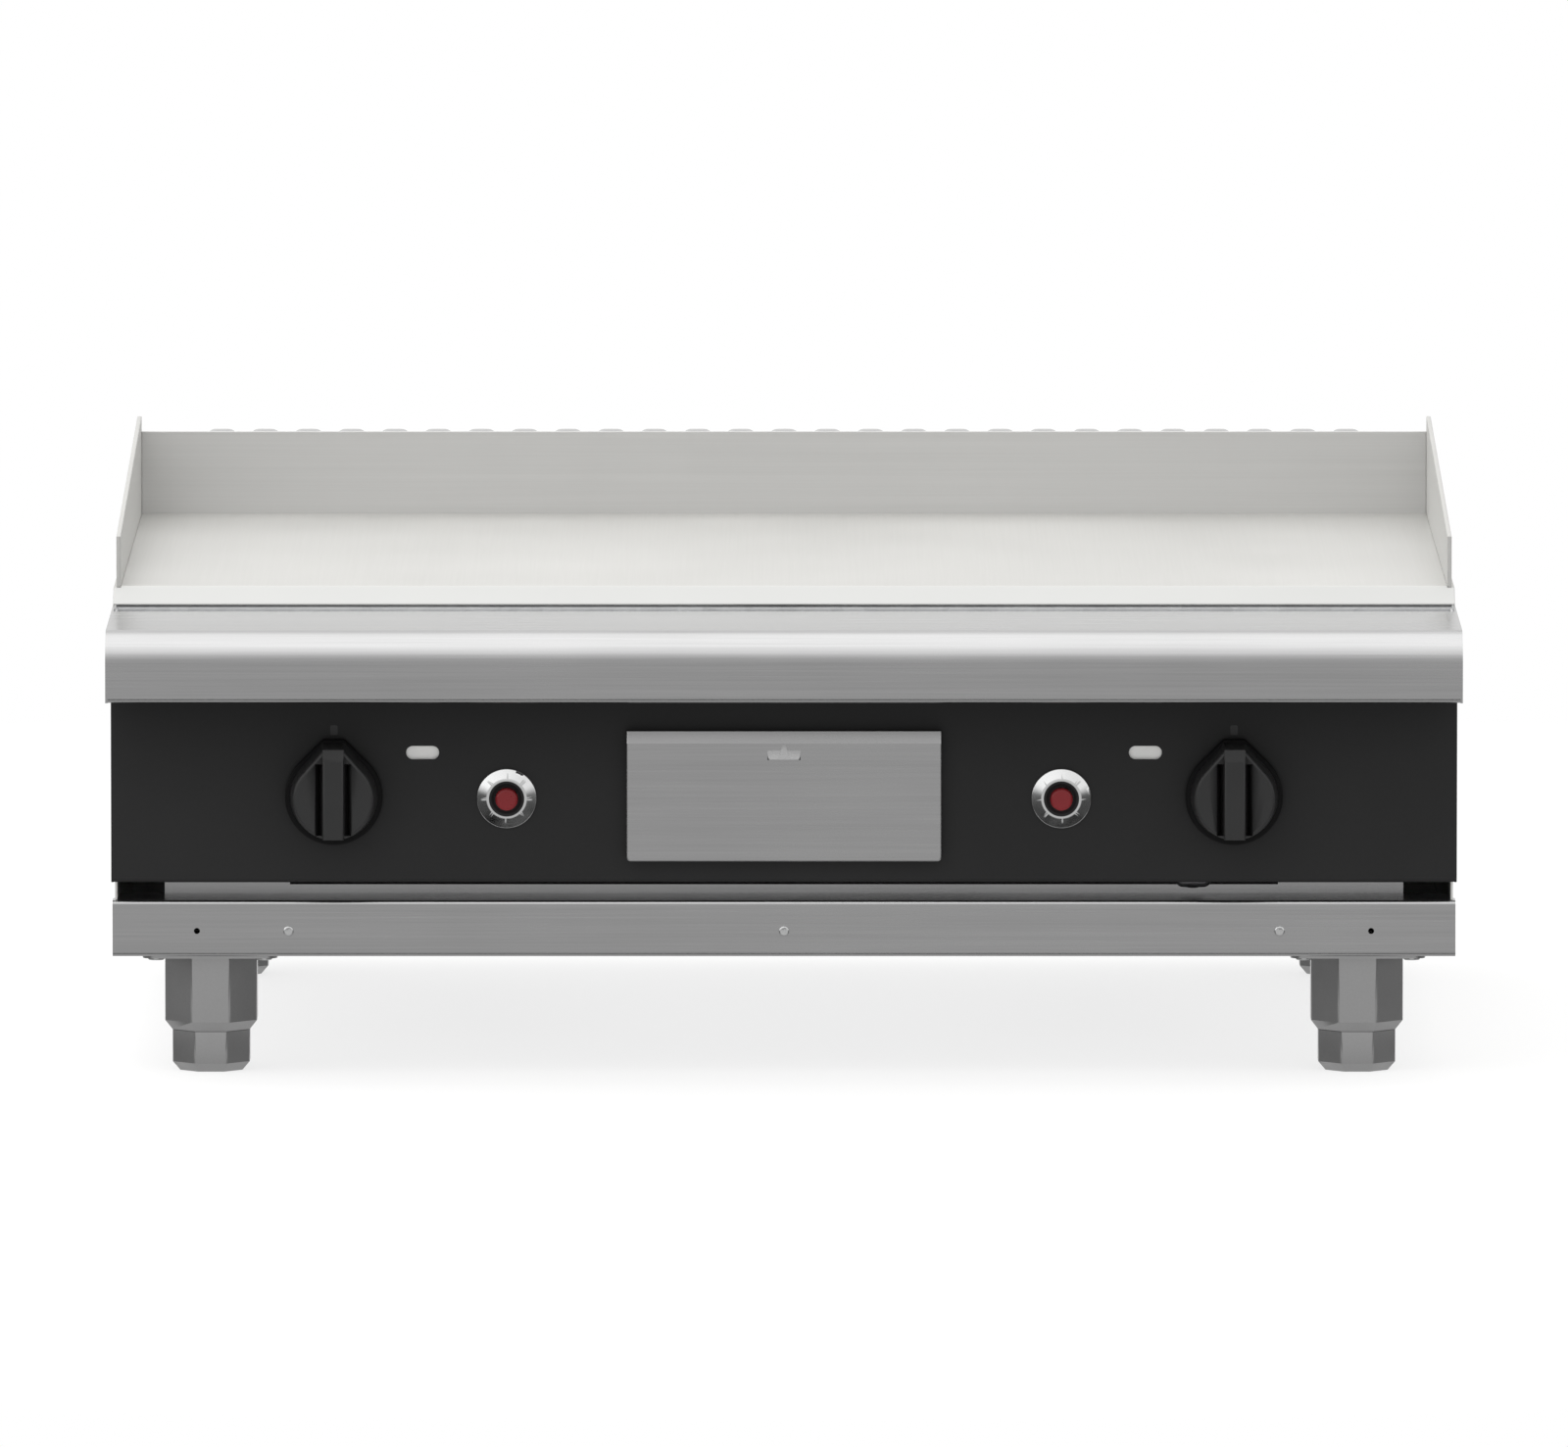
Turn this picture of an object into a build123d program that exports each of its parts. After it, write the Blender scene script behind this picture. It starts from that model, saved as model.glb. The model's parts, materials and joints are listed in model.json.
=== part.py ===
"""Bench-top gas griddle: a thick flat plate on a folded sheet-metal chassis, with two heating zones.

Frame: +X is the operator's right, +Y runs from the front to the rear, +Z is up. The origin is on the
floor, at the centre of the footprint. Everything is in millimetres. Each function below makes one
sub-part where it belongs in the assembly, and the list at the end writes one STEP file for each.
"""
import math
import os

from build123d import *

# ---- Overall sizes ---------------------------------------------------------------------------------------
WIDTH = 900.0            # over the rounded hob front
DEPTH = 805.0            # hob front to rear panel
BODY_HEIGHT = 234.5      # underside of the chassis to the cooking surface
LEG_HEIGHT = 80.5        # floor to the underside of the chassis

# ---- Sheet metal -----------------------------------------------------------------------------------------
SHEET = 1.5              # chassis and panels
HOB_SHEET = 2.0          # hob top
BEND = 1.5               # inside radius of a fold
GAP = 0.3                # fitting gap between pieces that only lie side by side

# ---- Hob front and grease trough -------------------------------------------------------------------------
NOSE_RADIUS = 22.0
NOSE_HEIGHT = 47.0       # deck surface to the lower edge of the nose
NOSE_HEM = 14.0          # lower edge folded back
DECK_LENGTH = 156.0      # nose front to the trough
TROUGH_WIDTH = 43.0
TROUGH_DEPTH = 26.0
CHUTE_WIDTH = 70.0       # outlet in the trough, along X
CHUTE_LENGTH = 30.0      # outlet in the trough, along Y
CHUTE_DROP = 44.0        # from the underside of the trough to the chute's mouth

# ---- Griddle plate and its guards ------------------------------------------------------------------------
PLATE_THICKNESS = 12.0
PLATE_BEVEL = 11.0       # 45 degree front edge
GUARD_THICKNESS = 3.0
GUARD_INSET = 2.0        # plate edge to the outside of a guard
GUARD_REBATE = 1.0       # depth that the guards and the splash are let into the plate
GUARD_FRONT_HEIGHT = 33.5
GUARD_REAR_HEIGHT = 67.5
SPLASH_HEIGHT = 57.0
FLUE_DEPTH = 42.0        # behind the rear splash

# ---- Flue cover louvres ----------------------------------------------------------------------------------
LOUVRE_COUNT = 27
LOUVRE_PITCH = 30.0
LOUVRE_WIDTH = 20.0
LOUVRE_LENGTH = 22.0
LOUVRE_RISE = 3.2
FLUE_COVER_DROP = 4.2    # splash top down to the cover's flat
FLUE_LIP = 12.0          # cover's rear lip

# ---- Chassis ---------------------------------------------------------------------------------------------
SIDE_INSET = 4.5         # hob end to the outside of a side panel
FLANGE = 20.0
RAIL_HEIGHT = 37.5
RAIL_INSET = 2.8         # hob end to the outside of the lower rail
RAIL_RETURN = 18.0
AIR_GAP = 12.0           # combustion air slot between rail and control panel
FIREWALL_SETBACK = 47.0  # behind the rail face
FIREWALL_END_OPENING = 32.0
BASE_PAN_LIFT = 3.0
AIR_SLOT_COUNT = 9
AIR_SLOT_PITCH = 38.0
AIR_SLOT_LENGTH = 120.0
AIR_SLOT_WIDTH = 12.0

# ---- Control panel ---------------------------------------------------------------------------------------
PANEL_SETBACK = 62.0     # behind the nose front
PANEL_INSET = 2.0        # hob end to the end of the control panel
PANEL_RETURN = 20.0
PANEL_TOP_GAP = 6.0      # below the hob deck
SIGHT_X = 240.5
SIGHT_UP = 136.5         # underside of the chassis to the middle of the sight slot
SIGHT_WIDTH = 22.0
SIGHT_HEIGHT = 9.0
SIGHT_GLASS_THICKNESS = 3.0

# ---- Grease drawer ---------------------------------------------------------------------------------------
DRAWER_FRONT_WIDTH = 210.0
DRAWER_FRONT_HEIGHT = 87.0
DRAWER_FRONT_UP = 64.5   # underside of the chassis to the drawer front's lower edge
DRAWER_PROUD = 9.0       # drawer front ahead of the panel
DRAWER_BEVEL_HEIGHT = 8.0
DRAWER_BEVEL_DEPTH = 2.0
DRAWER_OVERLAP = 6.0     # drawer front past the panel opening, on each side
DRAWER_CLEARANCE = 3.0   # tray to the panel opening
DRAWER_SHEET = 1.2
TRAY_LENGTH = 330.0
TRAY_TOP_GAP = 14.0      # tray rim below the drawer front's top edge
PULL_WIDTH = 22.0
PULL_HEIGHT = 6.5
PULL_PROUD = 2.0
PULL_WALL = 0.8
PULL_DROP = 19.0         # drawer front's top edge to the lip's lower edge
PULL_RIB_HEIGHT = 11.0
PULL_RIB_PROUD = 3.4
PULL_RIB_WIDTH = 8.0
RUNNER_WALL = 2.0
RUNNER_FLANGE = 14.0
RUNNER_SLIP = 0.4        # running gap between tray and runner

# ---- Knobs and gas valves --------------------------------------------------------------------------------
KNOB_X = 299.5
KNOB_UP = 108.0          # underside of the chassis to the spindle axis
SKIRT_RADIUS = 32.5
SKIRT_THICKNESS = 3.5
SKIRT_REACH = 38.5       # spindle axis to the tip of the dial
KNOB_RADIUS = 29.0
KNOB_REACH = 36.0        # spindle axis to the tip of the knob
KNOB_TAPER = 5.0         # degrees
KNOB_HEIGHT = 24.0
KNOB_EDGE = 2.5
TIP_FACET_HEIGHT = 8.0   # sloping end of the tip, seen from the front
TIP_FACET_DEPTH = 3.2
GRIP_WIDTH = 14.0
GRIP_GROOVE = 5.0        # finger groove beside the grip bar
GRIP_GROOVE_DEPTH = 11.0
GRIP_GROOVE_END = 5.0    # knob's edge to the end of a groove
GRIP_BAR_RISE = 3.0      # bar ahead of the knob's side lobes
KNOB_STANDOFF = 5.5      # knob skirt to panel, which leaves room for the push
SPINDLE_RADIUS = 4.0
SPINDLE_FLAT = 1.2       # depth of the flat on the spindle
SPINDLE_HOLE_GAP = 1.5
SPINDLE_SOCKET = 16.0    # depth of the knob's bore
RUNNING_FIT = 0.05
PLUG_RADIUS = 9.0
PLUG_LENGTH = 26.0
VALVE_WIDTH = 44.0
VALVE_HEIGHT = 52.0
VALVE_LENGTH = 46.0
VALVE_NECK_RADIUS = 12.0
VALVE_NECK_LENGTH = 10.0
VALVE_BEHIND_PANEL = 9.0
VALVE_OUTLET = 6.0       # outlet boss above the valve

# ---- Piezo igniters --------------------------------------------------------------------------------------
PIEZO_X = 184.6
PIEZO_UP = 106.0         # underside of the chassis to the igniter's axis
PIEZO_FLANGE_RADIUS = 20.0
PIEZO_CONE_RADIUS = 19.5
PIEZO_CONE_INNER = 11.8
PIEZO_PROUD = 4.8
PIEZO_FLANGE_THICKNESS = 2.0
PIEZO_BARREL_RADIUS = 11.0
PIEZO_BARREL_LENGTH = 46.0
PIEZO_NUT_RADIUS = 17.0
PIEZO_NUT_THICKNESS = 5.0
BUTTON_RADIUS = 7.5
BUTTON_PROUD = 5.0
BUTTON_STEM_RADIUS = 4.0
BUTTON_STEM_LENGTH = 22.0
BUTTON_HEAD_LENGTH = 12.0
BUTTON_BORE_DEPTH = 20.0
BUTTON_FIT = 0.25

# ---- Burners and gas line --------------------------------------------------------------------------------
BURNER_RADIUS = 16.0
BURNER_WALL = 1.6
BURNER_FROM_DRAWER = 33.5 # drawer tray to the axis of the inner tube
BURNER_DROP = 50.0       # plate underside to the burner's axis
BURNER_FRONT_GAP = 60.0  # plate front to the burner's closed front end
BURNER_REAR_GAP = 75.0   # splash to the burner's rear bend
PORT_COUNT = 18
PORT_LENGTH = 9.0
PORT_WIDTH = 2.0
MIXER_RADIUS = 13.0
INJECTOR_RADIUS = 5.0
INJECTOR_HEX = 14.0
INJECTOR_LENGTH = 18.0
GAS_TUBE_RADIUS = 5.0
PILOT_TUBE_RADIUS = 2.5
PILOT_TUBE_BEND = 8.0
PILOT_JET_DROP = 8.0     # burner axis down to the pilot's hood
PILOT_JET_LENGTH = 26.0
PIPE_HOLE_GAP = 4.0
MANIFOLD_RADIUS = 11.0
MANIFOLD_WALL = 2.3
MANIFOLD_CAP = 4.0
BRANCH_RADIUS = 9.0
MANIFOLD_OVERHANG = 30.0 # past each valve
MANIFOLD_DROP = 52.0     # knob axis down to the manifold
INLET_FROM_KNOB = 26.5   # right spindle axis to the inlet's axis
INLET_FROM_REAR = 40.0
INLET_RADIUS = 13.22     # R 3/4 male thread, major radius
INLET_BORE = 9.5
INLET_THREAD_LENGTH = 18.0
INLET_NECK_RADIUS = 12.5
INLET_COLLAR_RADIUS = 17.0
INLET_COLLAR_LENGTH = 12.0
ELBOW_HALF = 8.0
BRANCH_DROP = 22.0       # inlet collar's top above the base pan

# ---- Legs ------------------------------------------------------------------------------------------------
LEG_INSET = 67.5         # hob end to the leg's axis
LEG_FRONT_Y = 113.0      # behind the nose front
LEG_REAR_Y = 91.0        # ahead of the rear panel
LEG_FLATS = 61.4         # across flats of the sleeve
FOOT_FLATS = 51.5        # across flats of the foot
FOOT_HEIGHT = 27.5       # visible below the sleeve
LEG_TAPER = 6.5
LEG_CORNER = 2.0
FOOT_CHAMFER = 6.0
FOOT_EDGE = 5.0
STUD_RADIUS = 8.0
STUD_LENGTH = 40.0
STUD_FIT = 0.3
LEG_PLATE = 90.0
LEG_PLATE_THICKNESS = 2.0
LEG_PLATE_CORNER = 8.0
BOLT_RADIUS = 3.0
BOLT_HEAD_RADIUS = 5.5
BOLT_HEAD_HEIGHT = 1.6
BOLT_SPACING = 72.0
BOLT_HOLE_GAP = 0.2

# ---- Small screws ----------------------------------------------------------------------------------------
RAIL_SCREW_X = 330.0
RAIL_HOLE_INSET = 59.0   # hob end to the open fixing hole
RAIL_HOLE_UP = 17.15     # chassis underside to the screw line
SCREW_RADIUS = 2.0
SCREW_HEAD_RADIUS = 3.4
SCREW_HEAD_HEIGHT = 1.6

# ---- Positions worked out from the sizes -----------------------------------------------------------------
FRONT = -DEPTH / 2
REAR = DEPTH / 2
HALF = WIDTH / 2
WORK_HEIGHT = LEG_HEIGHT + BODY_HEIGHT
KNOB_Z = LEG_HEIGHT + KNOB_UP
PIEZO_Z = LEG_HEIGHT + PIEZO_UP
SIGHT_Z = LEG_HEIGHT + SIGHT_UP
DRAWER_FRONT_Z = LEG_HEIGHT + DRAWER_FRONT_UP
DECK_Z = WORK_HEIGHT - PLATE_THICKNESS
NOSE_Z = DECK_Z - NOSE_HEIGHT
TROUGH_FRONT = FRONT + DECK_LENGTH
PLATE_FRONT = TROUGH_FRONT + TROUGH_WIDTH
SPLASH_FRONT = REAR - FLUE_DEPTH - GUARD_THICKNESS
SPLASH_REAR = SPLASH_FRONT + GUARD_THICKNESS
PANEL_Y = FRONT + PANEL_SETBACK
RAIL_TOP = LEG_HEIGHT + RAIL_HEIGHT
PANEL_BOTTOM = RAIL_TOP + AIR_GAP
PANEL_TOP = DECK_Z - HOB_SHEET - PANEL_TOP_GAP
FIREWALL_Y = PANEL_Y + FIREWALL_SETBACK
SIDE_X = HALF - SIDE_INSET
TROUGH_FLOOR = DECK_Z - TROUGH_DEPTH
CHUTE_Y = TROUGH_FRONT + TROUGH_WIDTH / 2
CHUTE_MOUTH = TROUGH_FLOOR - SHEET - CHUTE_DROP
SPLASH_TOP = WORK_HEIGHT + SPLASH_HEIGHT
GUARD_INSIDE = HALF - GUARD_INSET - GUARD_THICKNESS
REBATE_Z = WORK_HEIGHT - GUARD_REBATE
FLUE_COVER_Z = SPLASH_TOP - FLUE_COVER_DROP
BASE_PAN_Z = LEG_HEIGHT + SHEET + BASE_PAN_LIFT
OPENING_HALF = DRAWER_FRONT_WIDTH / 2 - DRAWER_OVERLAP
OPENING_BOTTOM = DRAWER_FRONT_Z + DRAWER_OVERLAP
OPENING_TOP = DRAWER_FRONT_Z + DRAWER_FRONT_HEIGHT - DRAWER_OVERLAP
TRAY_HALF = OPENING_HALF - DRAWER_CLEARANCE
TRAY_BOTTOM = OPENING_BOTTOM + DRAWER_CLEARANCE
TRAY_TOP = DRAWER_FRONT_Z + DRAWER_FRONT_HEIGHT - TRAY_TOP_GAP
SKIRT_Y = PANEL_Y - KNOB_STANDOFF
KNOB_Y = SKIRT_Y - SKIRT_THICKNESS
VALVE_Y = PANEL_Y + SHEET + VALVE_BEHIND_PANEL
MANIFOLD_Z = KNOB_Z - MANIFOLD_DROP
MANIFOLD_Y = VALVE_Y + VALVE_LENGTH / 2
BURNER_Z = DECK_Z - BURNER_DROP
BURNER_HALF_SPAN = (KNOB_X - TRAY_HALF - BURNER_FROM_DRAWER) / 2
BURNER_X = KNOB_X - BURNER_HALF_SPAN
INJECTOR_Y = MANIFOLD_Y + ELBOW_HALF + GAP
THROAT_Y = INJECTOR_Y + INJECTOR_LENGTH + GAP
PILOT_Y = PLATE_FRONT + BURNER_FRONT_GAP + 8.0
PILOT_TUBE_Y = VALVE_Y + VALVE_LENGTH - 18.0
PILOT_TUBE_Z = MANIFOLD_Z + MANIFOLD_RADIUS + 12.0
INLET_TOP = BASE_PAN_Z + SHEET + BRANCH_DROP
LEG_X = HALF - LEG_INSET
RAIL_HOLE_X = HALF - RAIL_HOLE_INSET
RAIL_HOLE_Z = LEG_HEIGHT + RAIL_HOLE_UP
UNDER_HOB = DECK_Z - HOB_SHEET - GAP
BRACKET_Z = LEG_HEIGHT + SHEET + GAP / 2
BRACKET_THICKNESS = BASE_PAN_LIFT - GAP
INLET_X = KNOB_X - INLET_FROM_KNOB
INLET_Y = REAR - INLET_FROM_REAR
LEG_Y = (FRONT + LEG_FRONT_Y, REAR - LEG_REAR_Y)


# ---- Helpers ---------------------------------------------------------------------------------------------
def block(x0, x1, y0, y1, z0, z1):
    """A box between two corners."""
    return Pos((x0 + x1) / 2, (y0 + y1) / 2, (z0 + z1) / 2) * Box(x1 - x0, y1 - y0, z1 - z0)


def rod(axis, at, radius, length):
    """A cylinder from the point at, along +axis or -axis."""
    direction = {"x": (1, 0, 0), "y": (0, 1, 0), "z": (0, 0, 1)}[axis[-1]]
    sign = -1 if axis[0] == "-" else 1
    plane = Plane(origin=at, z_dir=tuple(sign * c for c in direction))
    return plane * Pos(0, 0, length / 2) * Cylinder(radius, length)


def mirror_x(shape):
    """The same piece on the other side of the griddle."""
    return mirror(shape, about=Plane.YZ)


def folded(points, thickness, corner_radii=None):
    """The section of a folded sheet: one skin runs through the points, and the sheet is to their left."""
    count = len(points)
    corner_radii = corner_radii or [BEND] * (count - 2)
    steps = [Vector(*points[i + 1]) - Vector(*points[i]) for i in range(count - 1)]
    normals = [Vector(-s.Y, s.X).normalized() for s in steps]
    other = [Vector(*points[0]) + normals[0] * thickness]
    near, far = [], []
    for i in range(1, count - 1):
        a, b = normals[i - 1], normals[i]
        other.append(Vector(*points[i]) + (a + b) * (thickness / (1 + a.dot(b))))
        left_turn = steps[i - 1].X * steps[i].Y - steps[i - 1].Y * steps[i].X > 0
        near.append(corner_radii[i - 1] + (thickness if left_turn else 0))
        far.append(corner_radii[i - 1] + (0 if left_turn else thickness))
    other.append(Vector(*points[-1]) + normals[-1] * thickness)
    skin = FilletPolyline(*points, radius=near)
    back = FilletPolyline(*[(p.X, p.Y) for p in reversed(other)], radius=far[::-1])
    return make_face([skin, Line(skin @ 1, back @ 0), back, Line(back @ 1, skin @ 0)])


def along_x(section, x0, x1):
    """A section drawn as (y, z), drawn out from x0 to x1."""
    return Pos(x0, 0, 0) * extrude(Plane.YZ * section, amount=x1 - x0)


def along_y(section, y0, y1):
    """A section drawn as (x, z), drawn out from y0 to y1."""
    return Pos(0, y1, 0) * extrude(Plane.XZ * section, amount=y1 - y0)


def octagon(flats):
    """A regular octagon by its width across flats, with a flat to the front."""
    return Rot(0, 0, 22.5) * RegularPolygon(flats / 2, 8, major_radius=False)


# ---- Hob and trough --------------------------------------------------------------------------------------
def front_hob():
    """The deck with its rounded nose, a hem along the lower edge and a lip that drops into the trough."""
    lip = 12.0
    top = folded(
        [
            (FRONT + NOSE_HEM, NOSE_Z),
            (FRONT, NOSE_Z),
            (FRONT, DECK_Z),
            (TROUGH_FRONT, DECK_Z),
            (TROUGH_FRONT, DECK_Z - lip),
        ][::-1],
        HOB_SHEET,
        [BEND, NOSE_RADIUS - HOB_SHEET, BEND],
    )
    deck = along_x(top, -HALF, HALF)
    end = Polyline(
        (FRONT, NOSE_Z),
        (FRONT, DECK_Z),
        (PLATE_FRONT, DECK_Z),
        (PLATE_FRONT, NOSE_Z + NOSE_HEM),
        (PANEL_Y + PANEL_RETURN, NOSE_Z + NOSE_HEM),
        (PANEL_Y + PANEL_RETURN - NOSE_HEM, NOSE_Z),
        close=True,
    )
    end_face = make_face(end)
    nose_corner = end_face.vertices().sort_by(Axis.X)[0:2].sort_by(Axis.Y)[-1]
    end_plate = along_x(fillet(nose_corner, NOSE_RADIUS), HALF - SHEET, HALF)
    return deck + end_plate + mirror_x(end_plate)


def grease_trough():
    """A channel between the deck and the plate, closed at its ends, with an outlet at its centre."""
    wall_front = TROUGH_FRONT + GAP
    wall_rear = PLATE_FRONT + 1.0 + SHEET
    bottom = TROUGH_FLOOR - SHEET
    under_plate = DECK_Z - SHEET - GAP
    front_top = DECK_Z - HOB_SHEET
    section = folded(
        [
            (wall_front, front_top),
            (wall_front, bottom),
            (wall_rear, bottom),
            (wall_rear, under_plate),
            (wall_rear + FLANGE - SHEET - BEND, under_plate),
        ],
        SHEET,
    )
    end = HALF - SHEET - GAP
    channel = along_x(section, -end, end)
    inset = SHEET / 2
    cap = block(end - SHEET, end, wall_front + inset, wall_rear - inset, bottom + inset, front_top)
    outlet = block(
        -CHUTE_WIDTH / 2, CHUTE_WIDTH / 2,
        CHUTE_Y - CHUTE_LENGTH / 2, CHUTE_Y + CHUTE_LENGTH / 2,
        bottom - 1.0, TROUGH_FLOOR + 1.0,
    )
    return channel + cap + mirror_x(cap) - outlet


def grease_chute():
    """A short duct that carries grease from the trough's outlet to the drawer."""
    top = TROUGH_FLOOR - SHEET - GAP
    outer = (CHUTE_WIDTH / 2 + SHEET, CHUTE_LENGTH / 2 + SHEET)
    duct = block(-outer[0], outer[0], CHUTE_Y - outer[1], CHUTE_Y + outer[1], CHUTE_MOUTH, top)
    collar_half = outer[0] + 8.0
    collar = block(-collar_half, collar_half, CHUTE_Y - outer[1], CHUTE_Y + outer[1], top - SHEET, top)
    inside = block(
        -CHUTE_WIDTH / 2, CHUTE_WIDTH / 2,
        CHUTE_Y - CHUTE_LENGTH / 2, CHUTE_Y + CHUTE_LENGTH / 2,
        CHUTE_MOUTH - 1.0, top + 1.0,
    )
    return duct + collar - inside


# ---- Plate, guards and flue ------------------------------------------------------------------------------
def griddle_plate():
    """The cooking plate, bevelled in front for scrapings and rebated for the guards and the splash."""
    section = Polyline(
        (PLATE_FRONT, DECK_Z),
        (PLATE_FRONT, WORK_HEIGHT - PLATE_BEVEL),
        (PLATE_FRONT + PLATE_BEVEL, WORK_HEIGHT),
        (SPLASH_REAR, WORK_HEIGHT),
        (SPLASH_REAR, DECK_Z),
        close=True,
    )
    plate = along_x(make_face(section), -HALF, HALF)
    above = WORK_HEIGHT + 1.0
    behind = SPLASH_REAR + 1.0
    side_y = PLATE_FRONT + PLATE_BEVEL - GUARD_REBATE
    side_rebate = block(GUARD_INSIDE, HALF + 1.0, side_y, behind, REBATE_Z, above)
    rear_rebate = block(-HALF - 1.0, HALF + 1.0, SPLASH_FRONT, behind, REBATE_Z, above)
    return plate - side_rebate - mirror_x(side_rebate) - rear_rebate


def side_guard():
    """A tapered guard let into the plate's right edge, higher at the rear."""
    y0 = PLATE_FRONT + PLATE_BEVEL
    outline = Polyline(
        (y0, REBATE_Z),
        (y0, WORK_HEIGHT + GUARD_FRONT_HEIGHT),
        (SPLASH_REAR, WORK_HEIGHT + GUARD_REAR_HEIGHT),
        (SPLASH_REAR, REBATE_Z),
        close=True,
    )
    return along_x(make_face(outline), GUARD_INSIDE, GUARD_INSIDE + GUARD_THICKNESS)


def rear_splash():
    """The upright behind the cooking area, between the two side guards."""
    return block(-GUARD_INSIDE, GUARD_INSIDE, SPLASH_FRONT, SPLASH_REAR, REBATE_Z, SPLASH_TOP)


def flue_duct():
    """Front and end walls of the flue, open to the burner box below and to the louvres above."""
    half = SIDE_X - SHEET - GAP
    y0 = SPLASH_REAR + GAP
    y1 = REAR - SHEET - BEND - GAP
    top = FLUE_COVER_Z - SHEET - GAP
    outer = block(-half, half, y0, y1, DECK_Z, top)
    inner = block(-half + SHEET, half - SHEET, y0 + SHEET, y1 + 1.0, DECK_Z - 1.0, top + 1.0)
    return outer - inner


def flue_cover():
    """The flue's top, with a row of pressed louvres that open to the rear."""
    half = SIDE_X
    y0 = SPLASH_REAR + GAP
    y1 = REAR
    section = folded(
        [(y1, FLUE_COVER_Z - FLUE_LIP), (y1, FLUE_COVER_Z), (y0, FLUE_COVER_Z)],
        SHEET,
    )
    cover = along_x(section, -half, half)
    centre_y = (y0 + y1 - SHEET) / 2
    wall = 1.0
    slots, hoods = [], []
    for i in range(LOUVRE_COUNT):
        x = (i - (LOUVRE_COUNT - 1) / 2) * LOUVRE_PITCH
        front = centre_y - LOUVRE_LENGTH / 2
        back = centre_y + LOUVRE_LENGTH / 2
        top = FLUE_COVER_Z + LOUVRE_RISE
        hood = Polyline(
            (front, FLUE_COVER_Z - SHEET),
            (front, top - 1.2),
            (front + 1.2, top),
            (back, top - 0.8),
            (back, FLUE_COVER_Z - SHEET),
            close=True,
        )
        hollow = Polyline(
            (front + wall, FLUE_COVER_Z - SHEET - 1.0),
            (front + wall, top - wall - 0.6),
            (back + 1.0, top - wall - 0.9),
            (back + 1.0, FLUE_COVER_Z - SHEET - 1.0),
            close=True,
        )
        half_width = LOUVRE_WIDTH / 2
        hoods.append(along_x(make_face(hood), x - half_width, x + half_width))
        slots.append(along_x(make_face(hollow), x - half_width + wall, x + half_width - wall))
    return cover + hoods - slots


# ---- Chassis ---------------------------------------------------------------------------------------------
def side_panel():
    """The right side: a sheet with a flange under the plate and one at the foot."""
    section = folded(
        [
            (SIDE_X - FLANGE, LEG_HEIGHT),
            (SIDE_X, LEG_HEIGHT),
            (SIDE_X, UNDER_HOB),
            (SIDE_X - FLANGE, UNDER_HOB),
        ],
        SHEET,
    )
    front = PANEL_Y + SHEET + GAP
    trough_end = PLATE_FRONT + FLANGE + 1.0
    panel = along_y(section, front, REAR - SHEET - GAP)
    flange_inner = SIDE_X - FLANGE - 1.0
    # The upper flange starts behind the trough, and the web is notched where the trough crosses it.
    upper_flange = block(
        flange_inner, SIDE_X - SHEET, PANEL_Y, trough_end, UNDER_HOB - SHEET - BEND, UNDER_HOB + 1.0
    )
    notch_front = TROUGH_FRONT - HOB_SHEET - BEND - GAP
    web_notch = block(
        flange_inner, SIDE_X + 1.0, notch_front, trough_end, TROUGH_FLOOR - 2 * SHEET, UNDER_HOB + 1.0
    )
    rail_room = block(
        flange_inner, SIDE_X + 1.0, PANEL_Y, PANEL_Y + RAIL_RETURN + GAP, LEG_HEIGHT - 1.0, RAIL_TOP + GAP
    )
    rear_room = block(
        flange_inner, SIDE_X - SHEET - BEND, REAR - FLANGE - GAP, REAR,
        LEG_HEIGHT - 1.0, LEG_HEIGHT + SHEET + 1.0,
    )
    return panel - upper_flange - web_notch - rail_room - rear_room - leg_bolt_holes()


def rear_panel():
    """The back, with a flange at the foot that stops short of the side panels."""
    section = folded(
        [(REAR - FLANGE, LEG_HEIGHT), (REAR, LEG_HEIGHT), (REAR, FLUE_COVER_Z - FLUE_LIP - 1.0)],
        SHEET,
    )
    panel = along_x(section, -SIDE_X, SIDE_X)
    inner = SIDE_X - SHEET - BEND - GAP
    corner = block(
        inner, SIDE_X + 1.0, REAR - FLANGE - 1.0, REAR - SHEET,
        LEG_HEIGHT - 1.0, LEG_HEIGHT + SHEET + BEND + 1.0,
    )
    return panel - corner - mirror_x(corner) - leg_bolt_holes()


def front_rail():
    """The lower front rail: a channel closed at its ends, with a shelf that runs back to the firewall."""
    outside = HALF - RAIL_INSET
    back = PANEL_Y + RAIL_RETURN
    corners = [(back, LEG_HEIGHT), (PANEL_Y, LEG_HEIGHT), (PANEL_Y, RAIL_TOP), (back, RAIL_TOP)]
    channel = along_x(folded(corners[::-1], SHEET), -outside, outside)
    end = fillet(
        make_face(Polyline(*corners, close=True)).vertices().sort_by(Axis.X)[0:2], SHEET + BEND
    )
    cap = along_x(end, outside - SHEET, outside)
    inside = SIDE_X - SHEET - GAP
    shelf = block(-inside, inside, back - SHEET, FIREWALL_Y - GAP, RAIL_TOP - SHEET, RAIL_TOP)
    holes = [
        rod("y", (x, PANEL_Y - 1.0, RAIL_HOLE_Z), SCREW_RADIUS, SHEET + 2.0)
        for x in (-RAIL_HOLE_X, -RAIL_SCREW_X, 0.0, RAIL_SCREW_X, RAIL_HOLE_X)
    ]
    return channel + cap + mirror_x(cap) + shelf - holes - leg_bolt_holes()



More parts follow.
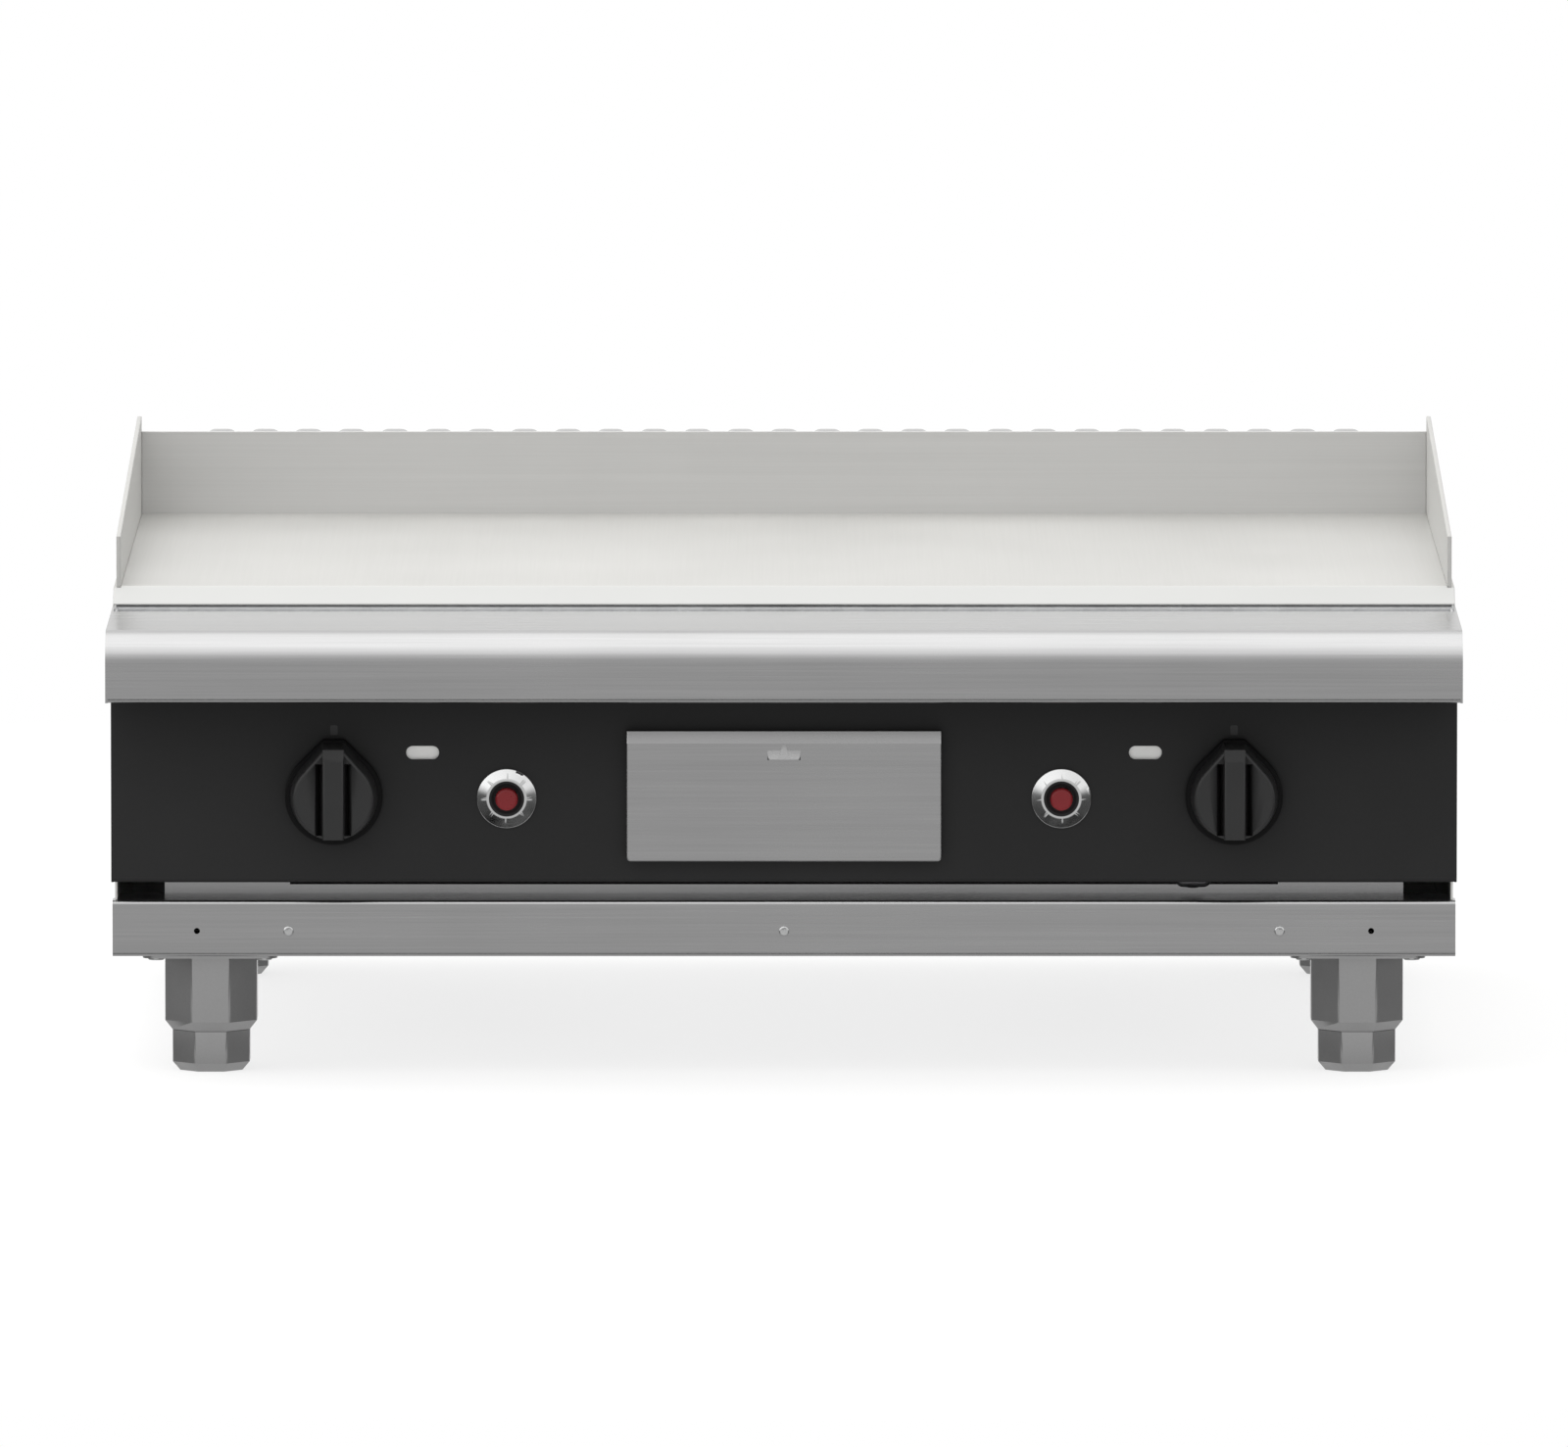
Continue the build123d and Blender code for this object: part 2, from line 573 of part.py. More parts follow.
def rail_screws():
    """Three pan-head screws through the rail's face."""
    screws = []
    for x in (-RAIL_SCREW_X, 0.0, RAIL_SCREW_X):
        head = rod("-y", (x, PANEL_Y, RAIL_HOLE_Z), SCREW_HEAD_RADIUS, SCREW_HEAD_HEIGHT)
        head = fillet(head.edges().sort_by(Axis.Y)[0], SCREW_HEAD_HEIGHT * 0.6)
        shank = rod("y", (x, PANEL_Y, RAIL_HOLE_Z), SCREW_RADIUS - 0.1, 8.0)
        slot = Pos(x, PANEL_Y - SCREW_HEAD_HEIGHT, RAIL_HOLE_Z) * (Box(0.8, 1.4, 3.6) + Box(3.6, 1.4, 0.8))
        screws.append(head + shank - slot)
    return Compound(screws)


def firewall():
    """The inner wall behind the controls, open for the drawer, the valves and the pipes."""
    half = SIDE_X - FIREWALL_END_OPENING
    foot_z = BASE_PAN_Z + SHEET + GAP
    section = folded(
        [
            (FIREWALL_Y + FLANGE, foot_z),
            (FIREWALL_Y, foot_z),
            (FIREWALL_Y, UNDER_HOB),
            (FIREWALL_Y + FLANGE / 2, UNDER_HOB),
        ][::-1],
        SHEET,
    )
    wall = along_x(section, -half, half)
    y0, y1 = FIREWALL_Y - 1.0, FIREWALL_Y + SHEET + 1.0
    drawer_way = TRAY_HALF + FLANGE
    cut = [
        block(-drawer_way, drawer_way, y0, y1, TRAY_BOTTOM - FLANGE, TRAY_TOP + FLANGE),
        rod("y", (INLET_X, y0, MANIFOLD_Z), MANIFOLD_RADIUS + PIPE_HOLE_GAP, SHEET + 2.0),
    ]
    for sign in (-1, 1):
        valve_x = sign * KNOB_X
        valve_way = VALVE_WIDTH / 2 + FLANGE / 2
        cut.append(
            block(
                valve_x - valve_way, valve_x + valve_way, y0, y1,
                KNOB_Z - VALVE_HEIGHT / 2 - FLANGE / 2, KNOB_Z + VALVE_HEIGHT / 2 + FLANGE / 2,
            )
        )
        cut.append(rod("y", (valve_x, y0, BURNER_Z), MIXER_RADIUS + PIPE_HOLE_GAP, SHEET + 2.0))
        sight_x = sign * SIGHT_X
        cut.append(rod("y", (sight_x, y0, PILOT_TUBE_Z), PILOT_TUBE_RADIUS + PIPE_HOLE_GAP, SHEET + 2.0))
        cut.append(Pos(sight_x, FIREWALL_Y, SIGHT_Z) * Box(SIGHT_WIDTH * 1.5, FLANGE, SIGHT_HEIGHT * 2))
    return wall - cut


def base_pan():
    """The floor of the burner box, with rows of slots that let in air for the burners."""
    half = SIDE_X - SHEET - GAP
    y0 = PANEL_Y + FLANGE + GAP
    y1 = REAR - SHEET - GAP
    pan = block(-half, half, y0, y1, BASE_PAN_Z, BASE_PAN_Z + SHEET)
    slots = []
    for sign in (-1, 1):
        for i in range(AIR_SLOT_COUNT):
            y = (PLATE_FRONT + SPLASH_FRONT) / 2 + (i - (AIR_SLOT_COUNT - 1) / 2) * AIR_SLOT_PITCH
            slot = extrude(SlotOverall(AIR_SLOT_LENGTH, AIR_SLOT_WIDTH), amount=SHEET * 2, both=True)
            slots.append(Pos(sign * BURNER_X, y, BASE_PAN_Z) * slot)
    slots.append(rod("z", (INLET_X, INLET_Y, BASE_PAN_Z - 1), INLET_RADIUS + 2.0, SHEET + 2))
    return pan - slots


def plate_supports():
    """Two angle bars under the plate, one behind the trough and one before the flue."""
    half = SIDE_X - FLANGE - 2.0
    bars = []
    for y in (PLATE_FRONT + FLANGE + 6.0, SPLASH_REAR - 2 * FLANGE):
        section = folded(
            [(y, DECK_Z - FLANGE), (y, DECK_Z), (y + FLANGE, DECK_Z)][::-1],
            3.0,
        )
        bars.append(along_x(section, -half, half))
    return Compound(bars)


# ---- Control panel ---------------------------------------------------------------------------------------
def control_panel():
    """The enamelled fascia, folded back all round and pierced for the controls and the drawer."""
    outside = HALF - PANEL_INSET
    section = folded(
        [
            (PANEL_Y + PANEL_RETURN - 6.0, PANEL_BOTTOM),
            (PANEL_Y, PANEL_BOTTOM),
            (PANEL_Y, PANEL_TOP),
            (PANEL_Y + PANEL_RETURN, PANEL_TOP),
        ][::-1],
        SHEET,
    )
    body = along_x(section, -outside, outside)
    side = block(
        outside - SHEET, outside, PANEL_Y + SHEET / 2, PANEL_Y + PANEL_RETURN, PANEL_BOTTOM + SHEET / 2,
        PANEL_TOP - SHEET / 2,
    )
    # The folded edges stop where the side panel's own edge passes them.
    side_room = block(
        SIDE_X - SHEET - GAP, outside - SHEET, PANEL_Y + SHEET + GAP / 2, REAR,
        PANEL_BOTTOM - 1.0, PANEL_TOP + 1.0,
    )
    body = body - side_room - mirror_x(side_room)
    body = body + side + mirror_x(side)
    depth = SHEET + 2
    cut = [
        block(-OPENING_HALF, OPENING_HALF, PANEL_Y - 1, PANEL_Y + SHEET + 1, OPENING_BOTTOM, OPENING_TOP)
    ]
    for sign in (-1, 1):
        cut.append(rod("y", (sign * KNOB_X, PANEL_Y - 1, KNOB_Z), SPINDLE_RADIUS + SPINDLE_HOLE_GAP, depth))
        cut.append(rod("y", (sign * PIEZO_X, PANEL_Y - 1, PIEZO_Z), PIEZO_BARREL_RADIUS + GAP, depth))
        slot = extrude(Plane.XZ * SlotOverall(SIGHT_WIDTH, SIGHT_HEIGHT), amount=depth, both=True)
        cut.append(Pos(sign * SIGHT_X, PANEL_Y, SIGHT_Z) * slot)
    return body - cut


def sight_glasses():
    """A pane behind each pilot sight slot."""
    panes = []
    for sign in (-1, 1):
        x = sign * SIGHT_X
        panes.append(
            block(
                x - SIGHT_WIDTH / 2 - 4, x + SIGHT_WIDTH / 2 + 4,
                PANEL_Y + SHEET + GAP / 2, PANEL_Y + SHEET + GAP / 2 + SIGHT_GLASS_THICKNESS,
                SIGHT_Z - SIGHT_HEIGHT / 2 - 4, SIGHT_Z + SIGHT_HEIGHT / 2 + 4,
            )
        )
    return Compound(panes)


# ---- Grease drawer ---------------------------------------------------------------------------------------
def drawer_front():
    """A shallow folded pan whose top edge leans back."""
    half = DRAWER_FRONT_WIDTH / 2
    y0 = PANEL_Y - DRAWER_PROUD
    y1 = PANEL_Y - GAP
    top = DRAWER_FRONT_Z + DRAWER_FRONT_HEIGHT
    outline = Polyline(
        (y0, DRAWER_FRONT_Z),
        (y0, top - DRAWER_BEVEL_HEIGHT),
        (y0 + DRAWER_BEVEL_DEPTH, top),
        (y1, top),
        (y1, DRAWER_FRONT_Z),
        close=True,
    )
    body = along_x(make_face(outline), -half, half)
    corner = 3.0
    body = fillet(body.edges().filter_by(Axis.Y).group_by(Axis.Z)[0], corner)
    soft = 1.2
    bend_line = body.edges().filter_by(Axis.X).group_by(Axis.Y)[0].sort_by(Axis.Z)[-1]
    body = fillet(bend_line, 2.0)
    body = fillet(body.faces().sort_by(Axis.Y)[0].edges().filter_by(Axis.Z), soft)
    wall = DRAWER_SHEET
    hollow = block(
        -half + wall, half - wall, y0 + wall + 0.6, y1 + 1, DRAWER_FRONT_Z + wall, top - DRAWER_BEVEL_HEIGHT
    )
    back = block(
        -half + corner, half - corner, y1 - wall, y1, DRAWER_FRONT_Z + corner, top - DRAWER_BEVEL_HEIGHT
    )
    return body - hollow + back


def drawer_tray():
    """The open grease tray, which runs back under the chute."""
    y0 = PANEL_Y
    y1 = PANEL_Y + TRAY_LENGTH
    tray = block(-TRAY_HALF, TRAY_HALF, y0, y1, TRAY_BOTTOM, TRAY_TOP)
    tray = fillet(tray.edges().filter_by(Axis.Y).group_by(Axis.Z)[0], 4.0)
    wall = DRAWER_SHEET
    half = TRAY_HALF - wall
    inside = block(-half, half, y0 + wall, y1 - wall, TRAY_BOTTOM + wall, TRAY_TOP + 1.0)
    inside = fillet(inside.edges().filter_by(Axis.Y).group_by(Axis.Z)[0], 4.0 - wall)
    return tray - inside


def drawer_pull():
    """A sloping lip at the top of the drawer front, for a fingertip, stiffened by a rib at its centre."""
    y = PANEL_Y - DRAWER_PROUD
    z = DRAWER_FRONT_Z + DRAWER_FRONT_HEIGHT - PULL_DROP
    tip = y - PULL_PROUD
    half = PULL_WIDTH / 2

    def wedge(drop, width):
        side = Polyline(
            (y, z + PULL_HEIGHT - drop),
            (tip + drop, z + PULL_WALL - drop),
            (tip + drop, z - drop),
            (y, z - drop),
            close=True,
        )
        body = along_x(make_face(side), -width, width)
        return fillet(body.edges().filter_by(Axis.Z).group_by(Axis.Y)[0], PULL_PROUD - drop - 0.5)

    lip = wedge(0.0, half) - wedge(PULL_WALL, half - PULL_WALL)
    rib_half = PULL_RIB_WIDTH / 2
    rib_tip = rib_half / 5
    rib_top = z + PULL_RIB_HEIGHT
    rib_front = Polyline((-rib_half, z), (-rib_tip, rib_top), (rib_tip, rib_top), (rib_half, z), close=True)
    crest = y - PULL_RIB_PROUD
    rib_side = Polyline((y, z), (crest, z), (crest, z + PULL_WALL), (y, rib_top), close=True)
    rib = along_y(make_face(rib_front), crest, y) & along_x(make_face(rib_side), -rib_half, rib_half)
    return lip + rib


def drawer_runner():
    """The right-hand runner: an angle that carries the tray's edge and guides its side."""
    inside = TRAY_HALF + RUNNER_SLIP
    under = TRAY_BOTTOM - RUNNER_SLIP
    section = Polyline(
        (inside - RUNNER_FLANGE, under - RUNNER_WALL),
        (inside + RUNNER_WALL, under - RUNNER_WALL),
        (inside + RUNNER_WALL, under + 30.0),
        (inside, under + 30.0),
        (inside, under),
        (inside - RUNNER_FLANGE, under),
        close=True,
    )
    y0 = PANEL_Y + SHEET + GAP
    return along_y(make_face(section), y0, y0 + TRAY_LENGTH)


def runner_hangers():
    """A cross strap that carries the rear ends of the runners, bolted down to the base pan."""
    y = PANEL_Y + SHEET + GAP + TRAY_LENGTH
    under = TRAY_BOTTOM - RUNNER_SLIP - RUNNER_WALL
    half = TRAY_HALF + RUNNER_SLIP + RUNNER_WALL
    posts = []
    for y0 in (FIREWALL_Y + FLANGE + 12.0, y - 26.0):
        strap = block(-half - 10, half + 10, y0, y0 + 20.0, under - 2.0, under)
        for sign in (-1, 1):
            x = sign * (half + 8)
            strap += block(x - 2, x + 2, y0, y0 + 20.0, BASE_PAN_Z + SHEET, under)
            strap += block(x - 10, x + 10, y0, y0 + 20.0, BASE_PAN_Z + SHEET, BASE_PAN_Z + SHEET + 2.0)
        posts.append(strap)
    return Compound(posts)


# ---- Knobs and valves ------------------------------------------------------------------------------------
def drop_outline(radius, reach):
    """A circle drawn out to a flat tip at the top, as wide as the grip bar."""
    tip = Pos(0, reach - 1.0) * Rectangle(GRIP_WIDTH, 2.0)
    return make_hull([*Circle(radius).edges(), *tip.edges()])


def facing_front(x, y, z):
    """A plane that faces the operator, with its own Y upright."""
    return Plane(origin=(x, y, z), x_dir=(1, 0, 0), z_dir=(0, -1, 0))


def knob_skirt():
    """The dial behind the right knob, with the same drop shape."""
    outline = drop_outline(SKIRT_RADIUS, SKIRT_REACH)
    disc = extrude(facing_front(KNOB_X, SKIRT_Y, KNOB_Z) * outline, amount=SKIRT_THICKNESS)
    disc = chamfer(disc.edges().group_by(Axis.Y)[0], 1.2)
    return disc - rod("-y", (KNOB_X, SKIRT_Y + 1.0, KNOB_Z), SPINDLE_RADIUS + 2.0, SKIRT_THICKNESS + 2.0)


def spindle_bore(x, y, z, length, radius):
    """A D-shaped cutter along +Y from y, whose flat is on top."""
    bore = rod("y", (x, y, z), radius, length)
    flat_z = z + SPINDLE_RADIUS - SPINDLE_FLAT + (radius - SPINDLE_RADIUS)
    return bore - block(x - radius - 1, x + radius + 1, y - 1, y + length + 1, flat_z, z + radius + 1)


def knob():
    """The right knob: a tapered drop with two finger grooves that leave a grip bar across the middle."""
    outline = drop_outline(KNOB_RADIUS, KNOB_REACH)
    back = facing_front(KNOB_X, KNOB_Y, KNOB_Z)
    body = extrude(back * outline, amount=KNOB_HEIGHT, taper=KNOB_TAPER)
    body = fillet(body.edges().group_by(Axis.Y)[0], KNOB_EDGE)
    lobe_front = KNOB_Y - KNOB_HEIGHT
    bar_front = lobe_front - GRIP_BAR_RISE
    half = GRIP_WIDTH / 2
    bottom = KNOB_Z - KNOB_RADIUS + KNOB_EDGE
    top = KNOB_Z + KNOB_REACH - KNOB_EDGE
    bar = block(KNOB_X - half, KNOB_X + half, bar_front, KNOB_Y, bottom, top)
    bar = fillet(bar.edges().filter_by(Axis.Z).group_by(Axis.Y)[0], 1.5)
    body += bar
    groove_reach = KNOB_RADIUS - GRIP_GROOVE_END
    for x0 in (KNOB_X - half - GRIP_GROOVE, KNOB_X + half):
        section = Polyline(
            (x0, lobe_front - 1.0),
            (x0 + GRIP_GROOVE, lobe_front - 1.0),
            (x0 + GRIP_GROOVE, lobe_front),
            (x0 + GRIP_GROOVE / 2, lobe_front + GRIP_GROOVE_DEPTH),
            (x0, lobe_front),
            close=True,
        )
        cutter = extrude(make_face(section), 2 * groove_reach, dir=(0, 0, 1))
        body -= Pos(0, 0, KNOB_Z - groove_reach) * cutter
    facet = Polyline(
        (bar_front - 1.0, top + 5.0),
        (bar_front - 1.0, top - TIP_FACET_HEIGHT),
        (bar_front, top - TIP_FACET_HEIGHT),
        (bar_front + TIP_FACET_DEPTH, top + 1.0),
        (bar_front + TIP_FACET_DEPTH, top + 5.0),
        close=True,
    )
    body -= along_x(make_face(facet), KNOB_X - KNOB_RADIUS, KNOB_X + KNOB_RADIUS)
    socket_radius = SPINDLE_RADIUS + RUNNING_FIT
    return body - spindle_bore(KNOB_X, KNOB_Y - SPINDLE_SOCKET, KNOB_Z, SPINDLE_SOCKET + 1.0, socket_radius)


def spindle():
    """The right valve's spindle, with a flat along its length."""
    y0 = KNOB_Y - SPINDLE_SOCKET + GAP
    y1 = VALVE_Y + VALVE_NECK_LENGTH + PLUG_LENGTH - 5.0
    return spindle_bore(KNOB_X, y0, KNOB_Z, y1 - y0, SPINDLE_RADIUS)


def valve_plug():
    """The plug that the spindle turns inside the right valve and slides through when it is pushed."""
    y0 = VALVE_Y + VALVE_NECK_LENGTH
    plug = rod("y", (KNOB_X, y0, KNOB_Z), PLUG_RADIUS, PLUG_LENGTH)
    port = Pos(KNOB_X, y0 + PLUG_LENGTH / 2, KNOB_Z + PLUG_RADIUS) * Box(5.0, 8.0, 6.0)
    bore = spindle_bore(KNOB_X, y0 - 1, KNOB_Z, PLUG_LENGTH + 2, SPINDLE_RADIUS + RUNNING_FIT)
    return plug - bore - port


def gas_valve():
    """The right thermostatic gas valve's body, bored for its plug."""
    half_w, half_h = VALVE_WIDTH / 2, VALVE_HEIGHT / 2
    neck_end = VALVE_Y + VALVE_NECK_LENGTH
    body = block(
        KNOB_X - half_w, KNOB_X + half_w, neck_end, VALVE_Y + VALVE_LENGTH, KNOB_Z - half_h, KNOB_Z + half_h
    )
    body = fillet(body.edges().filter_by(Axis.Y), 4.0)
    neck = rod("y", (KNOB_X, VALVE_Y, KNOB_Z), VALVE_NECK_RADIUS, VALVE_NECK_LENGTH + 1)
    inlet = rod(
        "-z", (KNOB_X, MANIFOLD_Y, KNOB_Z - half_h), MANIFOLD_RADIUS - 2,
        MANIFOLD_DROP - half_h - MANIFOLD_RADIUS - GAP,
    )
    outlet = rod("z", (KNOB_X, MANIFOLD_Y, KNOB_Z + half_h), ELBOW_HALF, VALVE_OUTLET)
    cavity = rod("y", (KNOB_X, neck_end - GAP, KNOB_Z), PLUG_RADIUS + RUNNING_FIT, PLUG_LENGTH + 6.0)
    neck_bore = rod("y", (KNOB_X, VALVE_Y - 1, KNOB_Z), SPINDLE_RADIUS + 0.1, VALVE_NECK_LENGTH + 2)
    return body + neck + inlet + outlet - cavity - neck_bore


# ---- Piezo igniters --------------------------------------------------------------------------------------
def piezo_housing():
    """The right igniter's housing: a conical bezel on a threaded barrel, bored for the button."""
    back = facing_front(PIEZO_X, PANEL_Y, PIEZO_Z)
    flange = rod("-y", (PIEZO_X, PANEL_Y, PIEZO_Z), PIEZO_FLANGE_RADIUS, PIEZO_FLANGE_THICKNESS)
    flange = fillet(flange.edges().sort_by(Axis.Y)[0], 1.0)
    cone_height = PIEZO_PROUD - PIEZO_FLANGE_THICKNESS
    cone = back * Pos(0, 0, PIEZO_FLANGE_THICKNESS + cone_height / 2) * Cone(
        PIEZO_CONE_RADIUS, PIEZO_CONE_INNER, cone_height
    )
    barrel = rod("y", (PIEZO_X, PANEL_Y, PIEZO_Z), PIEZO_BARREL_RADIUS, PIEZO_BARREL_LENGTH)
    head_bore = rod("y", (PIEZO_X, PANEL_Y - PIEZO_PROUD - 1, PIEZO_Z), BUTTON_RADIUS + BUTTON_FIT,
                    BUTTON_BORE_DEPTH + 1)
    stem_bore = rod("y", (PIEZO_X, PANEL_Y - PIEZO_PROUD, PIEZO_Z), BUTTON_STEM_RADIUS + BUTTON_FIT,
                    BUTTON_BORE_DEPTH + BUTTON_STEM_LENGTH)
    dish = back * Pos(0, 0, PIEZO_PROUD - 0.6) * Cone(BUTTON_RADIUS + 0.6, PIEZO_CONE_INNER - 0.8, 1.4)
    return flange + cone + barrel - head_bore - stem_bore - dish


def piezo_nuts():
    """A hexagon nut behind the panel on each igniter's barrel."""
    nut = extrude(RegularPolygon(PIEZO_NUT_RADIUS, 6), amount=PIEZO_NUT_THICKNESS)
    nut -= Pos(0, 0, PIEZO_NUT_THICKNESS / 2) * Cylinder(PIEZO_BARREL_RADIUS + 0.05, PIEZO_NUT_THICKNESS + 2)
    placed = []
    for sign in (-1, 1):
        plane = Plane(origin=(sign * PIEZO_X, PANEL_Y + SHEET, PIEZO_Z), z_dir=(0, 1, 0))
        placed.append(plane * nut)
    return Compound(placed)


def piezo_button():
    """The right push button, with the stem that strikes the igniter."""
    y0 = PANEL_Y - PIEZO_PROUD - BUTTON_PROUD
    head = rod("y", (PIEZO_X, y0, PIEZO_Z), BUTTON_RADIUS, BUTTON_HEAD_LENGTH)
    head = fillet(head.edges().sort_by(Axis.Y)[0], 2.2)
    stem = rod("y", (PIEZO_X, y0 + BUTTON_HEAD_LENGTH, PIEZO_Z), BUTTON_STEM_RADIUS, BUTTON_STEM_LENGTH)
    return head + stem


# ---- Burners and gas line --------------------------------------------------------------------------------
def burner():
    """The right U-shaped tube burner, with slotted ports along both legs and a mixer tube to its injector."""
    y0 = PLATE_FRONT + BURNER_FRONT_GAP
    y1 = SPLASH_FRONT - BURNER_REAR_GAP - BURNER_HALF_SPAN
    inner_x, outer_x = BURNER_X - BURNER_HALF_SPAN, BURNER_X + BURNER_HALF_SPAN
    line = Line((inner_x, y0), (inner_x, y1))
    bend = RadiusArc((inner_x, y1), (outer_x, y1), BURNER_HALF_SPAN)
    back = Line((outer_x, y1), (outer_x, y0))
    path = Pos(0, 0, BURNER_Z) * Wire([*line.edges(), *bend.edges(), *back.edges()])
    start = Plane(origin=(inner_x, y0, BURNER_Z), z_dir=(0, 1, 0))
    outside = sweep(start * Circle(BURNER_RADIUS), path=path)
    inside = sweep(start * Circle(BURNER_RADIUS - BURNER_WALL), path=path)
    cap = rod("y", (inner_x, y0, BURNER_Z), BURNER_RADIUS, BURNER_WALL)
    neck_length = 26.0
    neck = Plane(origin=(outer_x, y0, BURNER_Z), z_dir=(0, -1, 0))
    reducer = neck * Pos(0, 0, neck_length / 2) * Cone(BURNER_RADIUS, MIXER_RADIUS, neck_length)
    reducer_bore = neck * Pos(0, 0, neck_length / 2) * Cone(
        BURNER_RADIUS - BURNER_WALL, MIXER_RADIUS - BURNER_WALL, neck_length
    )
    mixer_length = y0 - neck_length - THROAT_Y
    mixer = rod("y", (outer_x, THROAT_Y, BURNER_Z), MIXER_RADIUS, mixer_length)
    mixer_bore = rod("y", (outer_x, THROAT_Y - 1, BURNER_Z), MIXER_RADIUS - BURNER_WALL, mixer_length + 1.01)
    air_hole = Pos(outer_x, THROAT_Y + 12.0, BURNER_Z) * Box(MIXER_RADIUS * 3, 12.0, 8.0)
    tube = outside + reducer + mixer - inside - reducer_bore - mixer_bore - air_hole + cap
    pitch = (y1 - y0 - 40.0) / (PORT_COUNT - 1)
    ports = []
    for x in (inner_x, outer_x):
        for side in (-1, 1):
            for i in range(PORT_COUNT):
                place = Pos(x, y0 + 20.0 + i * pitch, BURNER_Z) * Rot(0, side * 32.0, 0)
                ports.append(place * Pos(0, 0, BURNER_RADIUS) * Box(PORT_LENGTH, PORT_WIDTH, 6.0))
    return tube - ports


def burner_stands():
    """Cradles that hold each burner's two legs above the base pan."""
    half = 14.0
    foot_length = 14.0
    floor = BASE_PAN_Z + SHEET
    front_y = PLATE_FRONT + BURNER_FRONT_GAP + 50.0
    rear_y = SPLASH_FRONT - BURNER_REAR_GAP - BURNER_HALF_SPAN - 20.0
    inner_x, outer_x = BURNER_X - BURNER_HALF_SPAN, BURNER_X + BURNER_HALF_SPAN
    stands = []
    for x in (-outer_x, -inner_x, inner_x, outer_x):
        for y in (front_y, rear_y):
            post = block(x - half, x + half, y - SHEET / 2, y + SHEET / 2, floor, BURNER_Z - 4.0)
            post += block(x - half, x + half, y, y + foot_length, floor, floor + SHEET)
            cradle = rod("y", (x, y - foot_length, BURNER_Z), BURNER_RADIUS + GAP / 2, 2 * foot_length)
            stands.append(post - cradle)
    return Compound(stands)


def gas_injectors():
    """A brass injector for each zone, screwed into its elbow and pointing into the mixer tube."""
    hex_length = 8.0
    found = []
    for x in (-KNOB_X, KNOB_X):
        plane = Plane(origin=(x, INJECTOR_Y, BURNER_Z), z_dir=(0, 1, 0))
        jet = plane * extrude(RegularPolygon(INJECTOR_HEX / 2, 6, major_radius=False), amount=hex_length)
        jet += rod("y", (x, INJECTOR_Y + hex_length, BURNER_Z), INJECTOR_RADIUS, INJECTOR_LENGTH - hex_length)
        found.append(jet - rod("y", (x, INJECTOR_Y - 1.0, BURNER_Z), 1.2, INJECTOR_LENGTH + 2.0))
    return Compound(found)


def supply_pipes():
    """A pipe from each valve's outlet up to the elbow that carries its injector."""
    start_z = KNOB_Z + VALVE_HEIGHT / 2 + VALVE_OUTLET + GAP
    found = []
    for x in (-KNOB_X, KNOB_X):
        elbow = Pos(x, MANIFOLD_Y, BURNER_Z) * Box(*[2 * ELBOW_HALF] * 3)
        pipe = rod("z", (x, MANIFOLD_Y, start_z), GAS_TUBE_RADIUS, BURNER_Z - start_z)
        found.append(elbow + pipe)
    return Compound(found)


def gas_manifold():
    """The closed pipe that feeds both valves, and its thinner branch back to the inlet."""
    end = KNOB_X + MANIFOLD_OVERHANG
    branch_length = INLET_Y - MANIFOLD_Y
    drop_length = MANIFOLD_Z - INLET_TOP
    fitting = Box(*[2 * MANIFOLD_RADIUS + 2.4] * 3)
    fitting = fillet(fitting.edges(), MANIFOLD_RADIUS / 2)
    pipe = rod("x", (-end, MANIFOLD_Y, MANIFOLD_Z), MANIFOLD_RADIUS, 2 * end)
    pipe += rod("y", (INLET_X, MANIFOLD_Y, MANIFOLD_Z), BRANCH_RADIUS, branch_length)
    pipe += rod("-z", (INLET_X, INLET_Y, MANIFOLD_Z), INLET_NECK_RADIUS, drop_length)
    pipe += Pos(INLET_X, MANIFOLD_Y, MANIFOLD_Z) * fitting
    pipe += Pos(INLET_X, INLET_Y, MANIFOLD_Z) * fitting
    bore_start = MANIFOLD_CAP - end
    pipe -= rod("x", (bore_start, MANIFOLD_Y, MANIFOLD_Z), MANIFOLD_RADIUS - MANIFOLD_WALL, -2 * bore_start)
    pipe -= rod("y", (INLET_X, MANIFOLD_Y, MANIFOLD_Z), BRANCH_RADIUS - MANIFOLD_WALL, branch_length)
    bore_top = MANIFOLD_Z + MANIFOLD_RADIUS - 1.0
    return pipe - rod("-z", (INLET_X, INLET_Y, bore_top), INLET_BORE, bore_top - INLET_TOP + 1.0)


def gas_inlet():
    """The male threaded nipple that points down at the rear right, where the supply is joined."""
    top = INLET_TOP - GAP
    bottom = LEG_HEIGHT - INLET_THREAD_LENGTH
    thread = rod("z", (INLET_X, INLET_Y, bottom), INLET_RADIUS, INLET_THREAD_LENGTH)
    thread = chamfer(thread.edges().sort_by(Axis.Z)[0], 1.0)
    neck = rod("z", (INLET_X, INLET_Y, LEG_HEIGHT), INLET_NECK_RADIUS, top - INLET_COLLAR_LENGTH - LEG_HEIGHT)
    hexagon = extrude(RegularPolygon(INLET_COLLAR_RADIUS, 6), amount=INLET_COLLAR_LENGTH)
    collar = Pos(INLET_X, INLET_Y, top - INLET_COLLAR_LENGTH) * hexagon
    return thread + neck + collar - rod("z", (INLET_X, INLET_Y, bottom - 1.0), INLET_BORE, top - bottom + 2.0)


